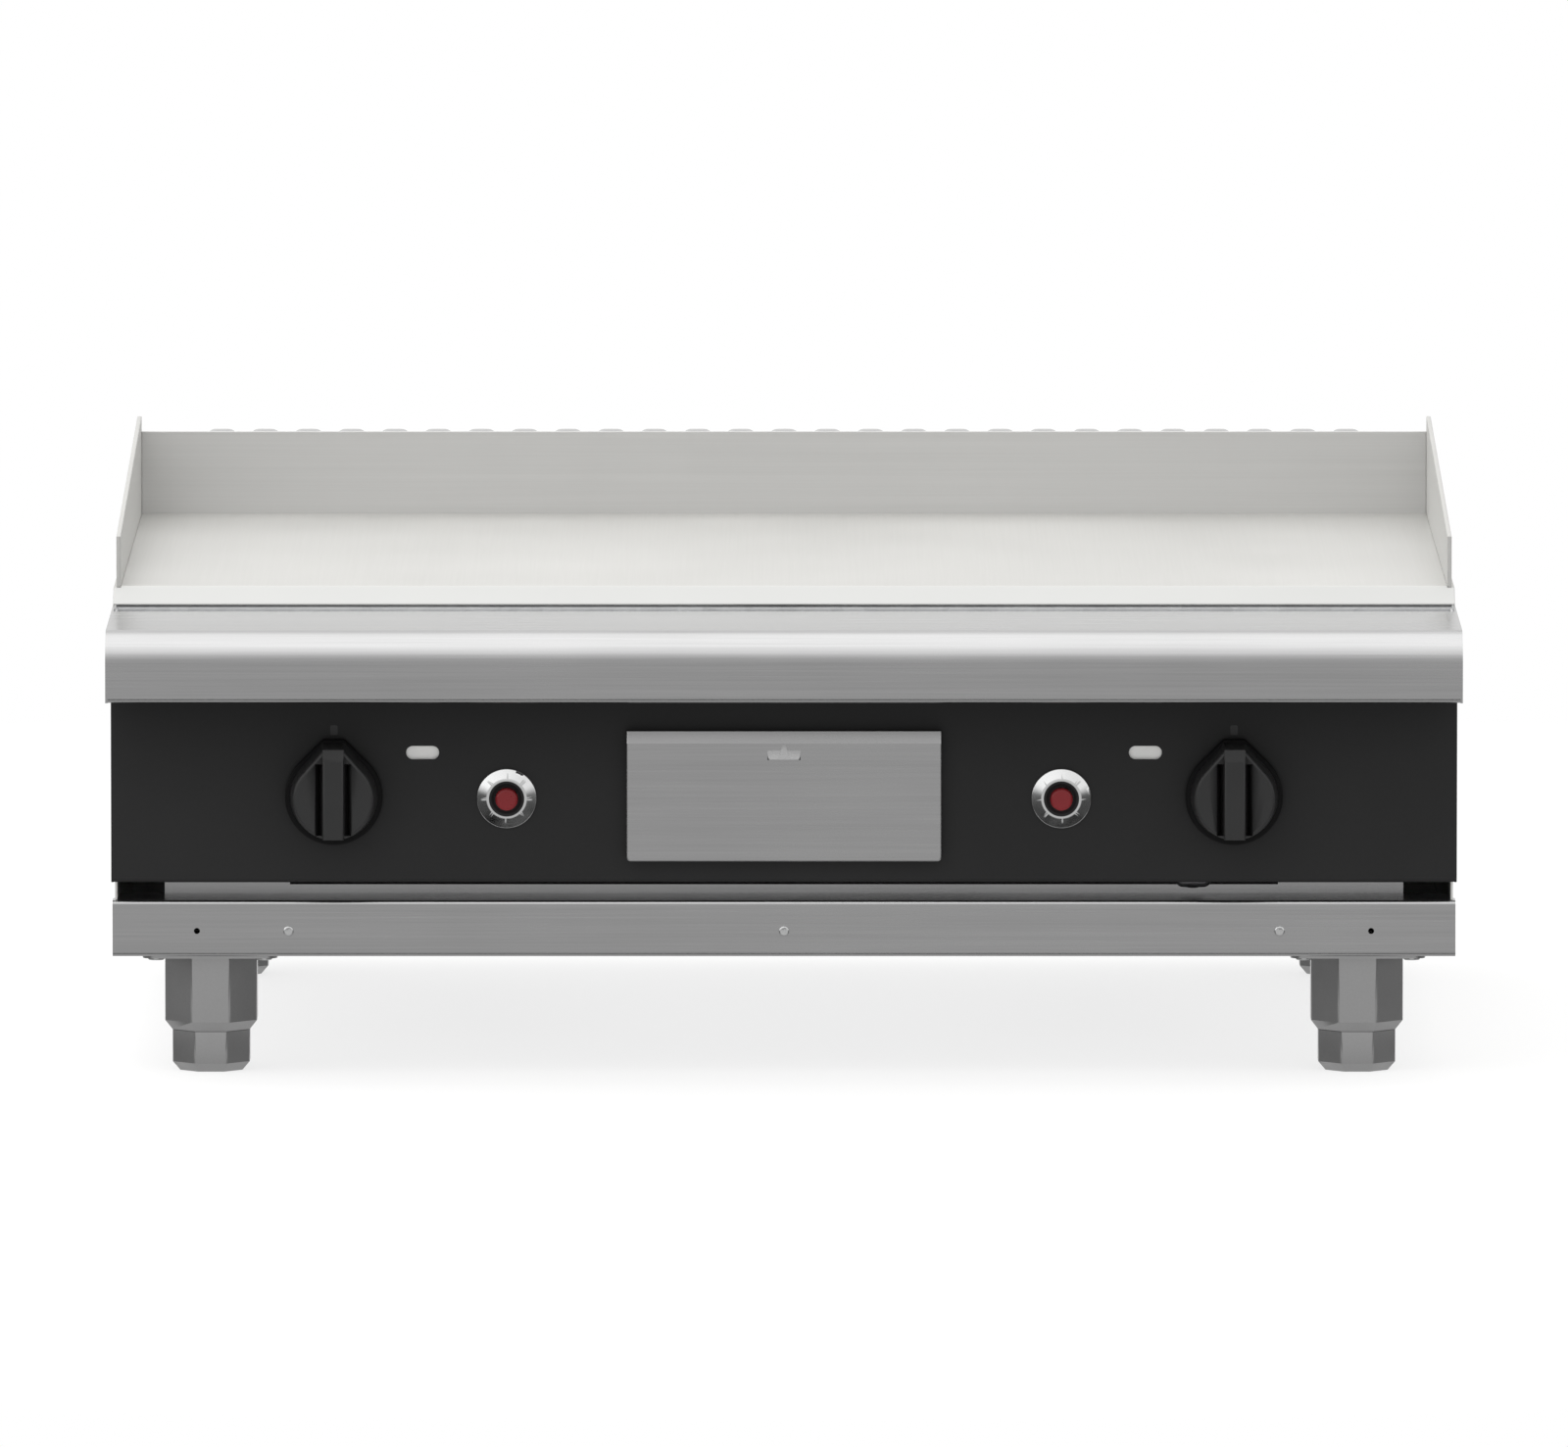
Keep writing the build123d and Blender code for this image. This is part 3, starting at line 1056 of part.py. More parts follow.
def pilot_burner():
    """The right pilot: a bracket with a hooded jet, an igniter electrode and a thermocouple beside it."""
    x, y = SIGHT_X, PILOT_Y
    floor = BASE_PAN_Z + SHEET
    tip = BURNER_Z - PILOT_JET_DROP
    bracket = block(x - 20, x + 20, y + 8, y + 8 + SHEET, floor, tip - 14)
    shelf = block(x - 20, x + 20, y - 8, y + 9, tip - 16, tip - 14)
    foot = block(x - 20, x + 20, y + 8, y + 22, floor, floor + SHEET)
    jet = rod("z", (x, y, tip - PILOT_JET_LENGTH), 4.0, PILOT_JET_LENGTH)
    hood = block(x - 6, x + 6, y - 6, y + 6, tip - 2, tip)
    electrode = rod("z", (x - 13, y, tip - 34), 3.0, 30.0) + rod("z", (x - 13, y, tip - 5), 1.0, 9.0)
    probe = rod("z", (x + 13, y, tip - 36), 3.2, 38.0)
    return bracket + shelf + foot + jet + hood + electrode + probe


def pilot_tubes():
    """A thin tube from each valve to its pilot."""
    found = []
    start_z = KNOB_Z - FLANGE / 2
    for sign in (-1, 1):
        x = sign * SIGHT_X
        route = FilletPolyline(
            (sign * (KNOB_X - VALVE_WIDTH / 2 - GAP), PILOT_TUBE_Y, start_z),
            (x, PILOT_TUBE_Y, start_z),
            (x, PILOT_TUBE_Y, PILOT_TUBE_Z),
            (x, PILOT_Y, PILOT_TUBE_Z),
            (x, PILOT_Y, BURNER_Z - PILOT_JET_DROP - PILOT_JET_LENGTH - GAP),
            radius=PILOT_TUBE_BEND,
        )
        plane = Plane(origin=route @ 0, z_dir=route % 0)
        found.append(sweep(plane * Circle(PILOT_TUBE_RADIUS), path=route))
    return Compound(found)


# ---- Legs ------------------------------------------------------------------------------------------------
def leg(x, y):
    """An octagonal sleeve under a square plate, bored for the foot's stud."""
    place = Pos(x, y, 0)
    shoulder_z = FOOT_HEIGHT + LEG_TAPER
    plate_z = LEG_HEIGHT - LEG_PLATE_THICKNESS
    bottom = place * Pos(0, 0, FOOT_HEIGHT) * octagon(FOOT_FLATS)
    shoulder = place * Pos(0, 0, shoulder_z) * octagon(LEG_FLATS)
    body = extrude(shoulder, amount=plate_z - shoulder_z) + loft([bottom, shoulder])
    body = fillet(body.edges().filter_by(Axis.Z), LEG_CORNER)
    plate = Box(LEG_PLATE, LEG_PLATE, LEG_PLATE_THICKNESS)
    plate = place * Pos(0, 0, plate_z + LEG_PLATE_THICKNESS / 2) * plate
    plate = fillet(plate.edges().filter_by(Axis.Z), LEG_PLATE_CORNER)
    stud_room = rod("z", (x, y, FOOT_HEIGHT - 1.0), STUD_RADIUS + STUD_FIT, STUD_LENGTH + 4.0)
    holes = [
        rod("z", (x + dx, y + dy, plate_z - 1.0), BOLT_RADIUS + BOLT_HOLE_GAP, LEG_PLATE_THICKNESS + 2.0)
        for dx, dy in bolt_places()
    ]
    return body + plate - stud_room - holes


def bolt_places():
    """The four bolts round one leg."""
    half = BOLT_SPACING / 2
    return [(dx, dy) for dx in (-half, half) for dy in (-half, half)]


def foot(x, y):
    """The adjusting foot that screws up into the sleeve, seated against it."""
    place = Pos(x, y, 0)
    straight = place * Pos(0, 0, FOOT_CHAMFER) * octagon(FOOT_FLATS)
    tread = place * octagon(FOOT_FLATS - 2 * FOOT_EDGE)
    body = extrude(straight, amount=FOOT_HEIGHT - GAP - FOOT_CHAMFER) + loft([tread, straight])
    body = fillet(body.edges().filter_by(Axis.Z), LEG_CORNER)
    return body + rod("z", (x, y, FOOT_HEIGHT - GAP), STUD_RADIUS, STUD_LENGTH)


def leg_bolt_holes():
    """Cutters for the leg bolts, through the chassis flanges."""
    return [
        rod("z", (x + dx, y + dy, LEG_HEIGHT - 1.0), BOLT_RADIUS + BOLT_HOLE_GAP, SHEET + 2.0)
        for x in (-LEG_X, LEG_X)
        for y in LEG_Y
        for dx, dy in bolt_places()
    ]


def leg_bolts():
    """The bolts that hold the leg plates up against the chassis."""
    plate_z = LEG_HEIGHT - LEG_PLATE_THICKNESS
    length = BRACKET_Z + BRACKET_THICKNESS - plate_z
    found = []
    for x in (-LEG_X, LEG_X):
        for y in LEG_Y:
            for dx, dy in bolt_places():
                at = (x + dx, y + dy, plate_z)
                head = rod("-z", at, BOLT_HEAD_RADIUS, BOLT_HEAD_HEIGHT)
                head = fillet(head.edges().sort_by(Axis.Z)[0], BOLT_HEAD_HEIGHT / 2)
                found.append(head + rod("z", at, BOLT_RADIUS, length))
    return Compound(found)


def leg_brackets():
    """A stiffening plate over each leg, under the base pan, that the leg bolts screw into."""
    found = []
    for x in (-LEG_X, LEG_X):
        for y in LEG_Y:
            plate = Pos(x, y, BRACKET_Z + BRACKET_THICKNESS / 2) * Box(
                LEG_PLATE, LEG_PLATE, BRACKET_THICKNESS
            )
            holes = [
                rod("z", (x + dx, y + dy, BRACKET_Z - 1.0), BOLT_RADIUS + BOLT_HOLE_GAP, BASE_PAN_LIFT + 1.0)
                for dx, dy in bolt_places()
            ]
            found.append(plate - holes)
    return Compound(found)


# ---- Write every sub-part --------------------------------------------------------------------------------
def pair(name, right):
    """Left and right nodes from the right-hand piece."""
    return {f"{name}_right": right, f"{name}_left": mirror_x(right)}


def all_parts():
    parts = {
        "front_hob": front_hob(),
        "grease_trough": grease_trough(),
        "grease_chute": grease_chute(),
        "griddle_plate": griddle_plate(),
        **pair("side_guard", side_guard()),
        "rear_splash": rear_splash(),
        "flue_duct": flue_duct(),
        "flue_cover": flue_cover(),
        **pair("side_panel", side_panel()),
        "rear_panel": rear_panel(),
        "front_rail": front_rail(),
        "rail_screws": rail_screws(),
        "firewall": firewall(),
        "base_pan": base_pan(),
        "plate_supports": plate_supports(),
        "control_panel": control_panel(),
        "sight_glasses": sight_glasses(),
        "drawer_front": drawer_front(),
        "drawer_tray": drawer_tray(),
        "drawer_pull": drawer_pull(),
        **pair("drawer_runner", drawer_runner()),
        "runner_hangers": runner_hangers(),
        **pair("knob_skirt", knob_skirt()),
        **pair("knob", knob()),
        **pair("spindle", spindle()),
        **pair("valve_plug", valve_plug()),
        **pair("gas_valve", gas_valve()),
        **pair("piezo_housing", piezo_housing()),
        "piezo_nuts": piezo_nuts(),
        **pair("piezo_button", piezo_button()),
        **pair("burner", burner()),
        "burner_stands": burner_stands(),
        "gas_injectors": gas_injectors(),
        "supply_pipes": supply_pipes(),
        "gas_manifold": gas_manifold(),
        "gas_inlet": gas_inlet(),
        **pair("pilot_burner", pilot_burner()),
        "pilot_tubes": pilot_tubes(),
        "leg_brackets": leg_brackets(),
        "leg_bolts": leg_bolts(),
    }
    for side, x in (("left", -LEG_X), ("right", LEG_X)):
        for end, y in zip(("front", "rear"), LEG_Y):
            parts[f"leg_{end}_{side}"] = leg(x, y)
            parts[f"foot_{end}_{side}"] = foot(x, y)
    return parts


os.makedirs("parts", exist_ok=True)
for node, shape in all_parts().items():
    export_step(shape, f"parts/{node}.step")
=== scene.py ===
# %% [markdown]
# # A flat top griddle, built around its CAD frame
# The griddle is a folded sheet-metal box with a thick cooking plate. The CAD model already gives every
# piece its place and its moving parts. This lesson gives each piece its looks: softened edges, smooth-shaded
# knobs, pressed louvres, and metals that show how they were rolled, ground and enamelled.
#
# Blender works here in metres, in the same frame as the CAD: +X is the operator's right, +Y the rear, +Z up.

# %% Load the frame
import json
import math

import bmesh
import bpy
from mathutils import Matrix, Vector

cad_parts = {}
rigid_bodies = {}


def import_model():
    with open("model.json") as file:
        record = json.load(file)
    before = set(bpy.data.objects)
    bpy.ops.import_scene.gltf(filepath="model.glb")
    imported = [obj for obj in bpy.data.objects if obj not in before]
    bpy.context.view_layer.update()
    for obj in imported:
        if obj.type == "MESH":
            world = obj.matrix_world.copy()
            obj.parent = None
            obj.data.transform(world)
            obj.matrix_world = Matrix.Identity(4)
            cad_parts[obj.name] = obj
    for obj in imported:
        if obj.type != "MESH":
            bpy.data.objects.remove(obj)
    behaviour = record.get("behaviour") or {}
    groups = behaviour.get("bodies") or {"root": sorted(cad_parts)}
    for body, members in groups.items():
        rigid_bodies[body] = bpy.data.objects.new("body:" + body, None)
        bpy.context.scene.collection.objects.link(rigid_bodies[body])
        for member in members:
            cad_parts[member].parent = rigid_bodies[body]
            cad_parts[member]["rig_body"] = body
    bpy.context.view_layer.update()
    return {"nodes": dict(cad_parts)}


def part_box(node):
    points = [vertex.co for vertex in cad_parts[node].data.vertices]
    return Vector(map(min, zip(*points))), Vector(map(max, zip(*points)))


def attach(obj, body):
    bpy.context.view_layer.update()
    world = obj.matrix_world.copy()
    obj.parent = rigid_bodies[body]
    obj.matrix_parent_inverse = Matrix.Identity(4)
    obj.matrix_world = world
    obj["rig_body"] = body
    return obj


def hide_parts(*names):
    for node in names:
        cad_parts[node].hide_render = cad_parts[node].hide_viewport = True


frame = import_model()
MM = 0.001

# %% [markdown]
# ## Camera
# A long lens far in front of the griddle gives nearly parallel edges, as in a catalogue picture. It stands
# above the plate and looks down by about five and a half degrees, so the top of the plate just opens up.
# The alternative, a short lens close by, would make the front loom over the rear.

# %% Camera
CAMERA_DISTANCE = 16.4605  # ahead of the nose
CAMERA_HEIGHT = 1.8426
CAMERA_PITCH = 5.552
CAMERA_LENS = 572.76  # millimetres, on a sensor 36 mm wide
SENSOR = 36.0

nose_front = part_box("front_hob")[0].y
camera_data = bpy.data.cameras.new("camera")
camera_data.sensor_width = SENSOR
camera_data.lens = CAMERA_LENS
camera_data.clip_end = 200.0
camera = bpy.data.objects.new("camera", camera_data)
camera.location = (0.0, nose_front - CAMERA_DISTANCE, CAMERA_HEIGHT)
camera.rotation_euler = (math.radians(90.0 - CAMERA_PITCH), 0.0, 0.0)
bpy.context.scene.collection.objects.link(camera)
bpy.context.scene.camera = camera
print("lens", round(camera_data.lens, 1), "mm")

# %% [markdown]
# ## Writing shaders as sums
# A shader's maths reads best as ordinary Python. `Val` wraps one output socket, and its operators add the
# Math nodes for it, so `1 - mask * 0.3` is written just so. Every other node comes from `Nodes.make`, which
# takes the node's type, its settings and what goes into its sockets.

# %% Shader helpers
class Val:
    """A number that comes out of a node."""

    def __init__(self, nodes, socket):
        self.nodes, self.socket = nodes, socket

    def _math(self, operation, a, b):
        return self.nodes.make("ShaderNodeMath", {"operation": operation}, {0: a, 1: b})

    def __add__(self, other):
        return self._math("ADD", self, other)

    def __sub__(self, other):
        return self._math("SUBTRACT", self, other)

    def __rsub__(self, other):
        return self._math("SUBTRACT", other, self)

    def __mul__(self, other):
        return self._math("MULTIPLY", self, other)

    def __pow__(self, other):
        return self._math("POWER", self, other)

    def __abs__(self):
        return self.nodes.make("ShaderNodeMath", {"operation": "ABSOLUTE"}, {0: self})

    __radd__ = __add__
    __rmul__ = __mul__


class Nodes:
    """One material's tree."""

    def __init__(self, tree):
        self.tree = tree

    def make(self, kind, settings=None, inputs=None, output=0):
        node = self.tree.nodes.new(kind)
        for name, value in (settings or {}).items():
            if name == "stops":
                ramp = node.color_ramp
                while len(ramp.elements) < len(value):
                    ramp.elements.new(1.0)
                for element, (place, colour) in zip(ramp.elements, value):
                    element.position = place
                    element.color = (*colour, 1.0) if len(colour) == 3 else colour
            else:
                setattr(node, name, value)
        for name, value in (inputs or {}).items():
            socket = node.inputs[name]
            if isinstance(value, Val):
                self.tree.links.new(value.socket, socket)
            else:
                socket.default_value = value
        return Val(self, node.outputs[output])

    def place(self):
        """Where a point is on the object, in metres."""
        return self.make("ShaderNodeTexCoord", output="Object")

    def stretched(self, scale, turn=(0.0, 0.0, 0.0)):
        """The place, stretched so that a pattern becomes a grain."""
        return self.make(
            "ShaderNodeMapping", inputs={"Vector": self.place(), "Rotation": turn, "Scale": scale}
        )

    def axis(self, vector, name):
        """One coordinate of a vector."""
        return self.make("ShaderNodeSeparateXYZ", inputs={0: vector}, output="xyz".index(name))

    def noise(self, vector, scale, detail=3.0, roughness=0.55):
        return self.make(
            "ShaderNodeTexNoise",
            inputs={"Vector": vector, "Scale": scale, "Detail": detail, "Roughness": roughness},
        )

    def between(self, value, low, high, start=0.0, end=1.0):
        """value from start..end moved to low..high."""
        return self.make(
            "ShaderNodeMapRange", {"clamp": True},
            {"Value": value, "From Min": start, "From Max": end, "To Min": low, "To Max": high},
        )

    def blend(self, factor, a, b):
        """Colour a where factor is 0, and b where it is 1."""
        a, b = (colour if isinstance(colour, Val) else (*colour, 1.0) for colour in (a, b))
        return self.make("ShaderNodeMix", {"data_type": "RGBA"}, {0: factor, 6: a, 7: b}, 2)

    def bump(self, height, strength, distance):
        return self.make(
            "ShaderNodeBump", inputs={"Height": height, "Strength": strength, "Distance": distance}
        )


def material(name, metallic=0.0, specular=0.5):
    """A new material with its tree and its main shader."""
    found = bpy.data.materials.new(name)
    found.use_nodes = True
    tree = found.node_tree
    shader = tree.nodes["Principled BSDF"]
    shader.inputs["Metallic"].default_value = metallic
    shader.inputs["Specular IOR Level"].default_value = specular
    return found, Nodes(tree), shader


def wire(nodes, shader, **sockets):
    """Plugs values or plain numbers into the main shader."""
    for name, value in sockets.items():
        socket = shader.inputs[name.replace("_", " ")]
        if isinstance(value, Val):
            nodes.tree.links.new(value.socket, socket)
        else:
            socket.default_value = (*value, 1.0) if isinstance(value, tuple) else value


# %% [markdown]
# ## Brushed stainless steel
# Kitchen sheet is rolled, then brushed in one direction, which leaves thousands of fine parallel scratches.
# A picture of scratches would repeat and blur. Noise stretched a few hundred times along the brushing
# direction never repeats, and it stays sharp at any distance. The same noise moves the roughness, the
# height and, very slightly, the colour. A second, slow noise adds the faint clouds that hands and cloths
# leave. The brushing runs along X on the hob, the rail, the firewall and the drawer. The sides, the guards
# and the splash are sheet that was pickled after welding, so they keep a faint grain but scatter the light
# more evenly. Their two copies differ in colour only as painted light and painted shade: the splash's copy is
# painted lighter, and the copy on the sides and guards is painted darker.

# %% Brushed stainless
def brushed(name, along, colour=(0.50, 0.50, 0.505), rough=0.24, grain=1.0, metallic=1.0):
    """Stainless sheet, brushed along an axis; less metallic means a duller, pickled skin."""
    found, nodes, shader = material(name, metallic=metallic)
    fine = [900.0, 900.0, 900.0]
    fine["xyz".index(along)] = 6.0
    scratches = nodes.noise(nodes.stretched(tuple(fine)), 1.0, detail=4.0, roughness=0.65)
    broad = [150.0, 150.0, 150.0]
    broad["xyz".index(along)] = 1.6
    bands = nodes.noise(nodes.stretched(tuple(broad)), 1.0, detail=2.0)
    clouds = nodes.noise(nodes.place(), 7.0, detail=3.0)
    shade = nodes.between(scratches + bands * 0.6 + clouds * 0.5, 0.0, 1.0, 0.7, 1.4)
    dark = tuple(c * (1.0 - 0.10 * grain) for c in colour)
    light = tuple(min(1.0, c * (1.0 + 0.07 * grain)) for c in colour)
    wire(
        nodes, shader,
        Base_Color=nodes.blend(shade, dark, light),
        Roughness=nodes.between((scratches + clouds) * 0.6, rough - 0.06, rough + 0.08, 0.3, 0.9),
        Normal=nodes.bump(scratches + bands * 0.5, 0.16 * grain, 0.00002),
    )
    return found


steel_x = brushed("stainless_brushed_across", "x")
# painted light and painted shade: the splash's copy is painted lighter, and the sides' and guards' copy
# darker, to set how bright each looks
dull_x = brushed("stainless_dull_across", "x", (0.575, 0.573, 0.565), 0.45, grain=0.5, metallic=0.3)
dull_y = brushed("stainless_dull_front_to_back", "y", (0.525, 0.523, 0.508), 0.48, grain=0.5, metallic=0.15)
print("stainless materials: 3")

# %% [markdown]
# ## The cooking plate
# The plate is thick steel, ground flat and polished. It is brighter than the sheet and a little warm, and
# its grinding lines run from front to back. Use leaves short crossing scratches from the scraper, so a
# second set of thin lines crosses at a small angle, broken up by a mask so that they come and go. The front
# edge was milled after grinding and is a little darker.

# %% Ground plate
PLATE_BEVEL = 11.0
MILLED_EDGE = 0.4
SCRAPER_TURN = math.radians(14.0)


def ground_plate(bevel_end):
    """Polished steel behind bevel_end, a place along Y, and a duller milled edge ahead of it."""
    found, nodes, shader = material("plate_ground", metallic=0.6)
    grind = nodes.noise(nodes.stretched((700.0, 5.0, 700.0)), 1.0, detail=4.0, roughness=0.6)
    across = nodes.stretched((6.0, 520.0, 6.0), (0.0, 0.0, SCRAPER_TURN))
    scraper = nodes.noise(across, 1.0, detail=2.0)
    patches = nodes.noise(nodes.place(), 5.0, detail=4.0)
    gate = nodes.between(patches, 0.0, 1.0, 0.5, 0.7)
    marks = nodes.between(scraper, 0.0, 1.0, 0.62, 0.72) * gate
    tone = nodes.between(grind * 0.5 + patches * 0.8, 0.0, 1.0, 0.4, 0.9)
    polished = nodes.blend(tone, (0.60, 0.595, 0.575), (0.65, 0.645, 0.627))
    depth = nodes.axis(nodes.place(), "y")
    milled = nodes.between(depth, 1.0, 0.0, bevel_end - MILLED_EDGE * MM, bevel_end)
    colour = nodes.blend(milled, polished, (0.545, 0.548, 0.54))
    wire(
        nodes, shader,
        Base_Color=nodes.blend(marks * 0.25, colour, (0.68, 0.67, 0.65)),
        Roughness=nodes.between(patches, 0.38, 0.46, 0.3, 0.7),
        Normal=nodes.bump(grind + marks * 0.6, 0.12, 0.00003),
    )
    return found


plate_steel = ground_plate(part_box("griddle_plate")[0].y + PLATE_BEVEL * MM)
print("plate ready")

# %% [markdown]
# ## Black enamel
# The control panel is enamelled steel with a satin gloss. Fired enamel is never quite flat: it has a fine
# orange-peel ripple, which shows in the highlights, and a few dust specks. A soft ripple from noise goes to
# the bump, and a much finer one varies the roughness.

# %% Enamel
def enamel(name, colour, rough, ripple=0.25):
    """Fired enamel; ripple is how strong its orange peel is."""
    found, nodes, shader = material(name, specular=0.26)
    peel = nodes.noise(nodes.place(), 420.0, detail=2.0)
    film = nodes.noise(nodes.place(), 9.0, detail=4.0)
    tint = nodes.between(film * 0.7 + peel * 0.3, 0.0, 1.0, 0.35, 0.65)
    dark = tuple(c * 0.88 for c in colour)
    light = tuple(c * 1.10 for c in colour)
    wire(
        nodes, shader,
        Base_Color=nodes.blend(tint, dark, light),
        Roughness=nodes.between(film * 0.6 + peel * 0.4, rough - 0.05, rough + 0.07, 0.3, 0.7),
        Normal=nodes.bump(peel, ripple, 0.00004),
    )
    return found


panel_enamel = enamel("panel_enamel", (0.0165, 0.0165, 0.017), 0.46)
print("enamel ready")

# %% [markdown]
# ## Galvanised sheet
# The hidden sheets are zinc coated. Zinc freezes on the steel in crystals a few millimetres wide, and each
# one reflects a little differently. A Voronoi texture gives every point the number of its nearest cell, so
# each crystal gets one tone. Two sizes of cell together avoid the look of a tiled floor.

# %% Galvanised
CELL_SCALES = (95.0, 230.0)


def galvanised():
    """Zinc spangle in two sizes of crystal."""
    found, nodes, shader = material("galvanised_spangle", metallic=0.5)
    tones = []
    for scale in CELL_SCALES:
        cells = nodes.make(
            "ShaderNodeTexVoronoi", {"feature": "F1"}, {"Vector": nodes.place(), "Scale": scale}, 1
        )
        tones.append(nodes.make("ShaderNodeRGBToBW", inputs={0: cells}))
    spangle = tones[0] * 0.65 + tones[1] * 0.35
    film = nodes.noise(nodes.place(), 14.0, detail=4.0)
    wire(
        nodes, shader,
        Base_Color=nodes.blend(spangle, (0.52, 0.525, 0.535), (0.68, 0.685, 0.69)),
        Roughness=nodes.between(spangle * 0.5 + film * 0.5, 0.34, 0.52, 0.2, 0.8),
        Normal=nodes.bump(spangle, 0.2, 0.00003),
    )
    return found


spangled = galvanised()
print("galvanised ready")

# %% [markdown]
# ## Small metals
# Castings, turned fittings and plated screws differ in colour, in shine and in the size of their mottle. One
# recipe covers them: a fine noise for the tooth of the surface and a slow one for handling marks. The legs
# are die cast and satin, the screws bright zinc.

# %% Small metals
METAL_TOOTH = 600.0


def mottled(name, colour, rough, spread):
    """Plain metal with a tooth of its own; spread is how much its tone wanders."""
    found, nodes, shader = material(name, metallic=1.0)
    fine = nodes.noise(nodes.place(), METAL_TOOTH)
    slow = nodes.noise(nodes.place(), 22.0)
    tone = nodes.between(fine * 0.5 + slow * 0.7, 0.0, 1.0, 0.4, 0.85)
    dark = tuple(c * (1.0 - spread) for c in colour)
    light = tuple(min(1.0, c * (1.0 + spread * 0.6)) for c in colour)
    wire(
        nodes, shader,
        Base_Color=nodes.blend(tone, dark, light),
        Roughness=nodes.between(fine * 0.4 + slow * 0.6, rough * 0.85, rough * 1.2, 0.3, 0.7),
        Normal=nodes.bump(fine, 0.2, 0.00003),
    )
    return found


leg_metal = mottled("leg_satin_casting", (0.52, 0.52, 0.525), 0.33, spread=0.07)
zinc = mottled("bright_zinc", (0.74, 0.745, 0.75), 0.22, spread=0.08)
brass = mottled("turned_brass", (0.66, 0.47, 0.20), 0.28, spread=0.15)
copper = mottled("drawn_copper", (0.70, 0.37, 0.24), 0.30, spread=0.22)
pipe_steel = mottled("plated_pipe", (0.40, 0.40, 0.42), 0.42, spread=0.15)
print("small metals: 5")

# %% [markdown]
# ## Igniter rings
# The sloping ring round each igniter is polished chrome and the collar inside it is black plastic. Both are
# one moulding, so one material does both: the distance from the button's axis decides which of the two it is.

# %% Igniter rings
COLLAR_RADIUS = 11.9
COLLAR_EDGE = 0.2


def chrome_ring(collar_radius):
    """Polished chrome outside collar_radius, in metres, and black plastic inside it."""
    found, nodes, shader = material("igniter_ring", specular=0.3)
    low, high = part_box("piezo_housing_right")
    axis_x, axis_z = (low.x + high.x) / 2, (low.z + high.z) / 2
    across = abs(nodes.axis(nodes.place(), "x")) - axis_x  # one material serves the left ring too
    up = nodes.axis(nodes.place(), "z") - axis_z
    distance = (across * across + up * up) ** 0.5
    ring = nodes.between(distance, 0.0, 1.0, collar_radius - COLLAR_EDGE * MM, collar_radius)
    fine = nodes.noise(nodes.place(), 500.0)
    wear = nodes.noise(nodes.place(), 60.0)
    wire(
        nodes, shader,
        Base_Color=nodes.blend(ring, (0.012, 0.012, 0.0125), (0.80, 0.805, 0.81)),
        Metallic=ring,
        Roughness=nodes.between(wear, 0.42, 0.50, 0.3, 0.7) - ring * 0.30,
        Normal=nodes.bump(fine, 0.03, 0.00002),
    )
    return found


ring_chrome = chrome_ring(COLLAR_RADIUS * MM)
print("ring ready")

# %% [markdown]
# ## Burner steel
# Burners discolour with heat, from straw through brown to blue, most of all where the flames stand. The
# height on the tube decides the tint here, and a noise moves its edge about so that it isn't a straight band.

# %% Burner steel
def heat_tinted(low, high):
    """Steel that turns from plain to straw, brown and blue between two heights in metres."""
    found, nodes, shader = material("burner_heat_tint", metallic=1.0)
    height = nodes.axis(nodes.place(), "z")
    wander = nodes.noise(nodes.place(), 30.0, detail=4.0)
    heat = nodes.between(height + (wander - 0.5) * 0.02, 0.0, 1.0, low, high)
    tint = nodes.make(
        "ShaderNodeValToRGB",
        {"stops": [
            (0.0, (0.40, 0.39, 0.38)), (0.45, (0.42, 0.34, 0.22)),
            (0.7, (0.28, 0.17, 0.12)), (0.9, (0.15, 0.15, 0.24)), (1.0, (0.22, 0.22, 0.25)),
        ]},
        {0: heat},
    )
    wire(
        nodes, shader,
        Base_Color=tint,
        Roughness=nodes.between(wander, 0.36, 0.60, 0.3, 0.7),
        Normal=nodes.bump(nodes.noise(nodes.place(), 500.0), 0.2, 0.00003),
    )
    return found


burner_low, burner_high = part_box("burner_left")
burner_steel = heat_tinted(burner_low.z, burner_high.z)
print("burner tint from", round(burner_low.z, 3), "to", round(burner_high.z, 3))

# %% [markdown]
# ## Moulded parts, the pane and the print
# Knobs are moulded in a tool with a fine spark-eroded texture, so a small even grain goes to the bump. The
# sight panes are heat-proof sheet, a real pane whose pale tone is painted light that stands for the bright
# light seen through it. It is plain scattering and no true glass. The index marks are screen printed, a thin
# grey ink whose edge and tone are slightly uneven.

# %% Moulded parts
def moulded(name, colour, rough, grain=900.0, strength=0.22, specular=0.4):
    """Plastic, ink or a pane whose pale tone is painted light, with a fine tooth; grain is how fine, strength
    how deep.
    """
    found, nodes, shader = material(name, specular=specular)
    tooth = nodes.noise(nodes.place(), grain, detail=2.0)
    hands = nodes.noise(nodes.place(), 38.0, detail=4.0)
    wire(
        nodes, shader,
        Base_Color=nodes.blend(hands, tuple(c * 0.85 for c in colour), tuple(c * 1.15 for c in colour)),
        Roughness=nodes.between(hands * 0.7 + tooth * 0.3, rough - 0.07, rough + 0.08, 0.3, 0.7),
        Normal=nodes.bump(tooth, strength, 0.00004),
    )
    return found


knob_plastic = moulded("knob_plastic", (0.021, 0.021, 0.0215), 0.40)
# painted shade: the skirt is a real black part, made darker and duller than the knob to stand for the shadow
# ring round each knob
dial_plastic = moulded("dial_plastic", (0.005, 0.005, 0.0052), 0.55, specular=0.15)
button_red = moulded("igniter_button_red", (0.20, 0.012, 0.016), 0.30, strength=0.1)
